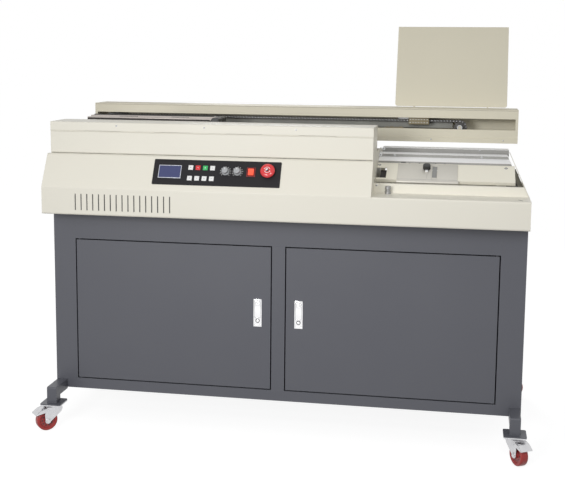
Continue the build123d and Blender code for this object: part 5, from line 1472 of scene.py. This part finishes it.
def nip_bars():
    """Two ground bars. The front one is stepped up towards the nip, the rear one stands taller."""
    bed_low, bed_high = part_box("nip_bed")
    bar_low, bar_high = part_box("front_nip_bar")
    foot = bar_low.z
    left, right = bar_low.x, bar_high.x
    rear_left, rear_right, rear_front = 274 * mm, 647 * mm, 2 * mm
    middle_x = (left + right) / 2
    step = -30 * mm
    heights = [foot + rise * mm for rise in (15.0, 23.5, 32.5, 36.0)]

    def lean(bm):
        """Cuts right ends along the cheek, which leans inwards as it rises."""
        for vert in bm.verts:
            if vert.co.x > middle_x:
                vert.co.x -= max(0.0, vert.co.z - foot) * CHEEK_LEAN

    def front(bm):
        section = [(bar_low.y, foot), (bar_low.y, heights[0]), (step, heights[1]), (step, heights[2]),
                   (bar_high.y, heights[3]), (bar_high.y, foot)]
        add_plate(bm, section, left, right - 0.5 * mm, 0.5 * mm, ALONG_X)
        lean(bm)

    def painted_shade_faces(bm):
        for face, low, high in ((step, heights[1] + 0.2 * mm, heights[2] - 0.6 * mm),
                                (bar_low.y, foot + 2 * mm, heights[0] - 0.8 * mm)):
            add_box(bm, (left + 1 * mm, face - 0.3 * mm, low), (right - 1.5 * mm, face + 0.1 * mm, high))
        lean(bm)

    def rear(bm):
        add_box(bm, (rear_left, rear_front, foot), (rear_right, bed_high.y, bed_high.z), 0.6 * mm)

    def rear_painted_shade_face(bm):
        inset, top = 0.5 * mm, bed_high.z - 0.8 * mm
        near, far = rear_front - 0.3 * mm, rear_front + 0.1 * mm
        add_box(bm, (rear_left + inset, near, heights[3] - 6 * mm), (rear_right - inset, far, top))

    def bed(bm):
        add_box(bm, (left, bed_low.y, bed_low.z), (right - 6 * mm, bed_high.y, foot - 0.1 * mm), 0.4 * mm)

    # The tops carry a painted highlight; the plates on the upright faces are painted shade.
    piece("front_bar", "front_nip_bar", bar_top_painted_highlight, front, ["front_nip_bar"])
    piece("front_bar_shade_faces", "front_nip_bar", bar_face_painted_shade, painted_shade_faces)
    piece("rear_bar", "machine", bar_top_painted_highlight, rear, ["nip_bed"])
    piece("rear_bar_shade_face", "machine", bar_face_painted_shade, rear_painted_shade_face)
    piece("nip_bed", "machine", zinc, bed)


nip_bars()

# %% [markdown]
# ### Bolts and rollers
# The bars are bolted down, and a white roller stands at the left end of each. The two rollers
# are the same part, so a table gives the body and the place of each.

# %% Bolts and rollers
def bar_fittings():
    """Bolts in both bars, the front bar's foot screws, and a white roller at each left end."""
    front_bolts = [facing_front(x * mm, -30.3 * mm, 834 * mm) for x in (312.5, 568)]
    rear_bolts = [facing_front(561.6 * mm, 1.7 * mm, 850.5 * mm)]
    screws("front_bar_bolts", "front_nip_bar", front_bolts, 3.0 * mm, 2.2 * mm, zinc)
    screws("rear_bar_bolts", "machine", rear_bolts, 2.6 * mm, 1.8 * mm, zinc)
    foot_face = -64.8 * mm

    def foot_screws(bm):
        for x in (359.3, 388, 435.1, 461.9):
            add_rod(bm, 2.3 * mm, 0, 0.8 * mm, 0.2 * mm, facing_front(x * mm, foot_face, 814 * mm), 20)
        # The slot is a dark bar of painted shade.
        slot = facing_front(341 * mm, foot_face, 817 * mm)
        add_box(bm, (-7 * mm, -1.3 * mm, 0), (7 * mm, 1.3 * mm, 0.4 * mm), 0, slot)

    piece("foot_screws", "front_nip_bar", black_plastic, foot_screws)
    ends = {
        "front_bar": ("front_nip_bar", facing_front(271 * mm, -30 * mm, 834.6 * mm)),
        "rear_bar": ("machine", facing_front(277.5 * mm, 2 * mm, 850 * mm)),
    }
    proud = 4 * mm
    for bar, (body, place) in ends.items():
        piece(bar + "_roller", body, nylon,
              lambda bm: add_rod(bm, 4.6 * mm, 0.1 * mm, proud, 0.9 * mm, place, 32))
    for bar, (body, place) in ends.items():
        piece(bar + "_dot", body, black_plastic,
              lambda bm: add_rod(bm, 1.5 * mm, proud - 0.1 * mm, proud + 0.3 * mm, 0.1 * mm, place, 16))


bar_fittings()

# %% [markdown]
# ### Press pin
# A pin with a waist stands on the ledge beside the table. The waist could be cut into a rod,
# but a turned profile has it from the start. A screw on the lip and a mark on the ledge are
# made here as well.

# %% Press pin
LEDGE_TOP = 739 * mm


def lip_fittings():
    """The lip's screw, a small mark on the ledge and the press pin with its waist."""
    lip_face = facing_front(272.6 * mm, -180 * mm, 760.5 * mm)
    screws("lip_screw", "machine", [lip_face], 3.0 * mm, 1.5 * mm, zinc)

    def mark(bm):
        spot = Matrix.Translation((672.6 * mm, -244.3 * mm, LEDGE_TOP))
        turn = spot @ Matrix.Rotation(math.radians(-51), 4, "Z")
        add_box(bm, (-9.5 * mm, -1.6 * mm, -0.2 * mm), (9.5 * mm, 1.6 * mm, 0.15 * mm), 0.05 * mm, turn)

    def catch(bm):
        low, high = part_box("plunger")
        middle = (low + high) / 2
        place = Matrix.Translation((middle.x, middle.y, LEDGE_TOP))
        radius, waist, top, foot = 8.3 * mm, 7.0 * mm, 22 * mm, -11.9 * mm
        profile = [(0, top), (6.6 * mm, top), (radius, top - 1.4 * mm), (radius, 13 * mm),
                   (waist, 12 * mm), (waist, 8.6 * mm), (radius, 7.6 * mm), (radius, foot), (0, foot)]
        add_spun(bm, profile, place, 40)

    piece("ledge_mark", "machine", black_plastic, mark)
    piece("plunger", "plunger", catch_grey, catch, ["plunger"], soft=35)


lip_fittings()

# %% [markdown]
# ## Console edge
# The console ends in a rolled edge just under the flap. A bevelled bar stands for the roll,
# since only its front shows in the seam.

# %% Console edge
def console_lip():
    """A rolled edge along the console's top, which narrows the seam under the flap."""
    low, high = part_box("hood_flap")
    seat = 832.4 * mm
    near, far = low.y + 0.4 * mm, low.y + 4 * mm

    def lip(bm):
        add_box(bm, (low.x + 1 * mm, near, seat), (high.x - 1 * mm, far, seat + 2.2 * mm), 0.3 * mm)

    piece("console_lip", "machine", cream, lip)


console_lip()

# %% [markdown]
# ## Louvres
# The casing behind the louvres is too deep for light to come back. It could be closed in with
# walls, but a dark strip inside each slot does the same with one box.

# %% Louvres
LOUVRE_COUNT = 17
LOUVRE_PITCH = 17.8 * mm
LOUVRE_WIDTH, LOUVRE_HEIGHT = 3.2 * mm, 48 * mm
APRON_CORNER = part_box("front_cover")[0]
APRON_SHEET = 1.5 * mm
LOUVRE_FIRST = APRON_CORNER.x + 104 * mm
LOUVRE_FOOT = APRON_CORNER.z + 14.5 * mm


def louvre_depths():
    """Unlit strips behind the slots."""
    front = APRON_CORNER.y + APRON_SHEET
    half, spare = 0.8 * LOUVRE_WIDTH, 1 * mm
    behind = front + 0.6 * mm

    def strips(bm):
        for i in range(LOUVRE_COUNT):
            x = LOUVRE_FIRST + i * LOUVRE_PITCH
            low = (x - half, front, LOUVRE_FOOT - spare)
            high = (x + half, behind, LOUVRE_FOOT + LOUVRE_HEIGHT + spare)
            add_box(bm, low, high)

    piece("louvre_depths", "machine", black_plastic, strips)


louvre_depths()

# %% [markdown]
# ## Cable gland
# The mains lead enters at the back through a black moulded nut. The nut is a ring turned from
# its section, and thin rods round it make the grips, which is quicker than an outline with
# twelve bumps.

# %% Cable gland
def cable_gland():
    """A black moulded nut over the gland's body, with grips round it."""
    place = facing_back(-624 * mm, 248 * mm, 706 * mm)
    bore, radius, foot = 4.2 * mm, 14.1 * mm, -17 * mm

    def nut(bm):
        section = [(bore, foot), (radius, foot), (radius, -0.4 * mm), (radius - 0.7 * mm, 0.3 * mm),
                   (bore, 0.3 * mm)]
        add_ring(bm, section, place)

    def grips(bm):
        count = 12
        reach = Matrix.Translation((radius - 0.2 * mm, 0, 0))
        for i in range(count):
            spin = place @ Matrix.Rotation(math.tau * i / count, 4, "Z") @ reach
            add_rod(bm, 1.0 * mm, -14 * mm, -1.6 * mm, 0.3 * mm, spin, 10)

    piece("gland_nut", "machine", black_plastic, nut, soft=30)
    piece("gland_grips", "machine", black_plastic, grips)


cable_gland()

# %% [markdown]
# ## Camera
# A long lens looks from the operator's side, a little to the right and above the beam. It
# could be aimed by a constraint, but that can't hold a slight roll, so its turn is built from
# three angles.

# %% Camera
CAMERA_PLACE = Vector((0.5171, -3.1223, 1.1277))
CAMERA_YAW, CAMERA_PITCH, CAMERA_ROLL = -0.17390966, 0.13441375, 0.00908979
LENS = 66.05
SHIFT_Y = -0.0796


def aim_camera():
    """A camera turned by its yaw, its pitch and then its roll."""
    data = bpy.data.cameras.new("camera")
    camera = bpy.data.objects.new("camera", data)
    bpy.context.collection.objects.link(camera)
    cy, sy = math.cos(CAMERA_YAW), math.sin(CAMERA_YAW)
    cp, sp = math.cos(CAMERA_PITCH), math.sin(CAMERA_PITCH)
    forward = Vector((sy * cp, cy * cp, -sp))
    right = Vector((cy, -sy, 0))
    up = right.cross(forward)
    tilted_right = right * math.cos(CAMERA_ROLL) + up * math.sin(CAMERA_ROLL)
    tilted_up = up * math.cos(CAMERA_ROLL) - right * math.sin(CAMERA_ROLL)
    camera.matrix_world = Matrix.Translation(CAMERA_PLACE) @ turn_to(tilted_right, tilted_up, -forward)
    data.lens = LENS
    data.shift_y = SHIFT_Y
    bpy.context.scene.camera = camera
    print("camera at", [round(value, 2) for value in CAMERA_PLACE], "lens", LENS, "mm")


aim_camera()

# %% [markdown]
# ## Floor, world and lamps
# The machine stands in a white studio. A white floor and world alone would light it from all
# sides and wash it out. So both look white when seen, and give less light when it is only
# gathered: a light path node tells the two apart. Three area lamps add the highlights.

# %% Lamps
def lamp(name, place, aim, size, power):
    """A white area lamp, aimed at a point."""
    data = bpy.data.lights.new(name, "AREA")
    data.shape = "RECTANGLE"
    data.size, data.size_y = size
    data.energy = power
    light = bpy.data.objects.new(name, data)
    bpy.context.collection.objects.link(light)
    light.location = place
    light.rotation_mode = "QUATERNION"
    light.rotation_quaternion = (Vector(aim) - Vector(place)).to_track_quat("-Z", "Y")
    print("lamp", name, power, "W")

# %% White when seen
def seen_directly(tree):
    """1 where the camera, a mirror or a glass looks; 0 where light is only gathered."""
    path = tree.nodes.new("ShaderNodeLightPath")
    total = path.outputs["Is Camera Ray"]
    for kind in ("Is Glossy Ray", "Is Transmission Ray"):
        either = tree.nodes.new("ShaderNodeMath")
        either.operation = "MAXIMUM"
        tree.links.new(total, either.inputs[0])
        tree.links.new(path.outputs[kind], either.inputs[1])
        total = either.outputs[0]
    return total


def blend_when_seen(tree, gathered, seen):
    """A value that differs between gathered light and what is looked at."""
    mix = tree.nodes.new("ShaderNodeMix")
    mix.data_type = "FLOAT"
    mix.inputs["A"].default_value = gathered
    mix.inputs["B"].default_value = seen
    tree.links.new(seen_directly(tree), mix.inputs["Factor"])
    return mix.outputs["Result"]

# %% Floor
# The floor looks white and still takes a faint shadow: most of what is seen is its own white.
FLOOR_GREY = 0.24
FLOOR_SHADE = 0.30
FLOOR_WHITE = 0.86


def floor_finish():
    """A white floor that still takes a faint shadow."""
    material = bpy.data.materials.new("floor")
    material.use_nodes = True
    tree = material.node_tree
    shader = tree.nodes["Principled BSDF"]
    shader.inputs["Roughness"].default_value = 1.0
    shader.inputs["Specular IOR Level"].default_value = 0.0
    grey = tree.nodes.new("ShaderNodeCombineColor")
    level = blend_when_seen(tree, FLOOR_GREY, FLOOR_SHADE)
    for channel in ("Red", "Green", "Blue"):
        tree.links.new(level, grey.inputs[channel])
    tree.links.new(grey.outputs["Color"], shader.inputs["Base Color"])
    shader.inputs["Emission Color"].default_value = (1, 1, 1, 1)
    tree.links.new(blend_when_seen(tree, 0.0, FLOOR_WHITE), shader.inputs["Emission Strength"])
    return material


def floor():
    """A large flat sheet at Z = 0."""
    bm = bmesh.new()
    bmesh.ops.create_grid(bm, x_segments=1, y_segments=1, size=30)
    mesh = bpy.data.meshes.new("floor")
    bm.to_mesh(mesh)
    bm.free()
    ground = bpy.data.objects.new("floor", mesh)
    bpy.context.collection.objects.link(ground)
    paint(ground, floor_finish())

# %% World
WORLD_LIGHT = 0.47


def white_world():
    """White where the camera looks past the object; a softer light on the object itself."""
    world = bpy.data.worlds.new("world")
    bpy.context.scene.world = world
    world.use_nodes = True
    tree = world.node_tree
    background = tree.nodes["Background"]
    tree.links.new(blend_when_seen(tree, WORLD_LIGHT, 1.0), background.inputs["Strength"])
    background.inputs["Color"].default_value = (1, 1, 1, 1)

# %% Light the scene
floor()
white_world()
lamp("key", (-0.70, -2.70, 1.22), (-0.1, 0, 0.7), (0.9, 0.6), 30)
lamp("side", (0.55, -1.75, 1.35), (0.25, 0, 0.9), (0.5, 0.4), 6.5)
lamp("back", (-0.6, 2.8, 1.1), (0, 0, 0.6), (0.9, 0.6), 20)

scene = bpy.context.scene
scene.view_settings.view_transform = "Standard"
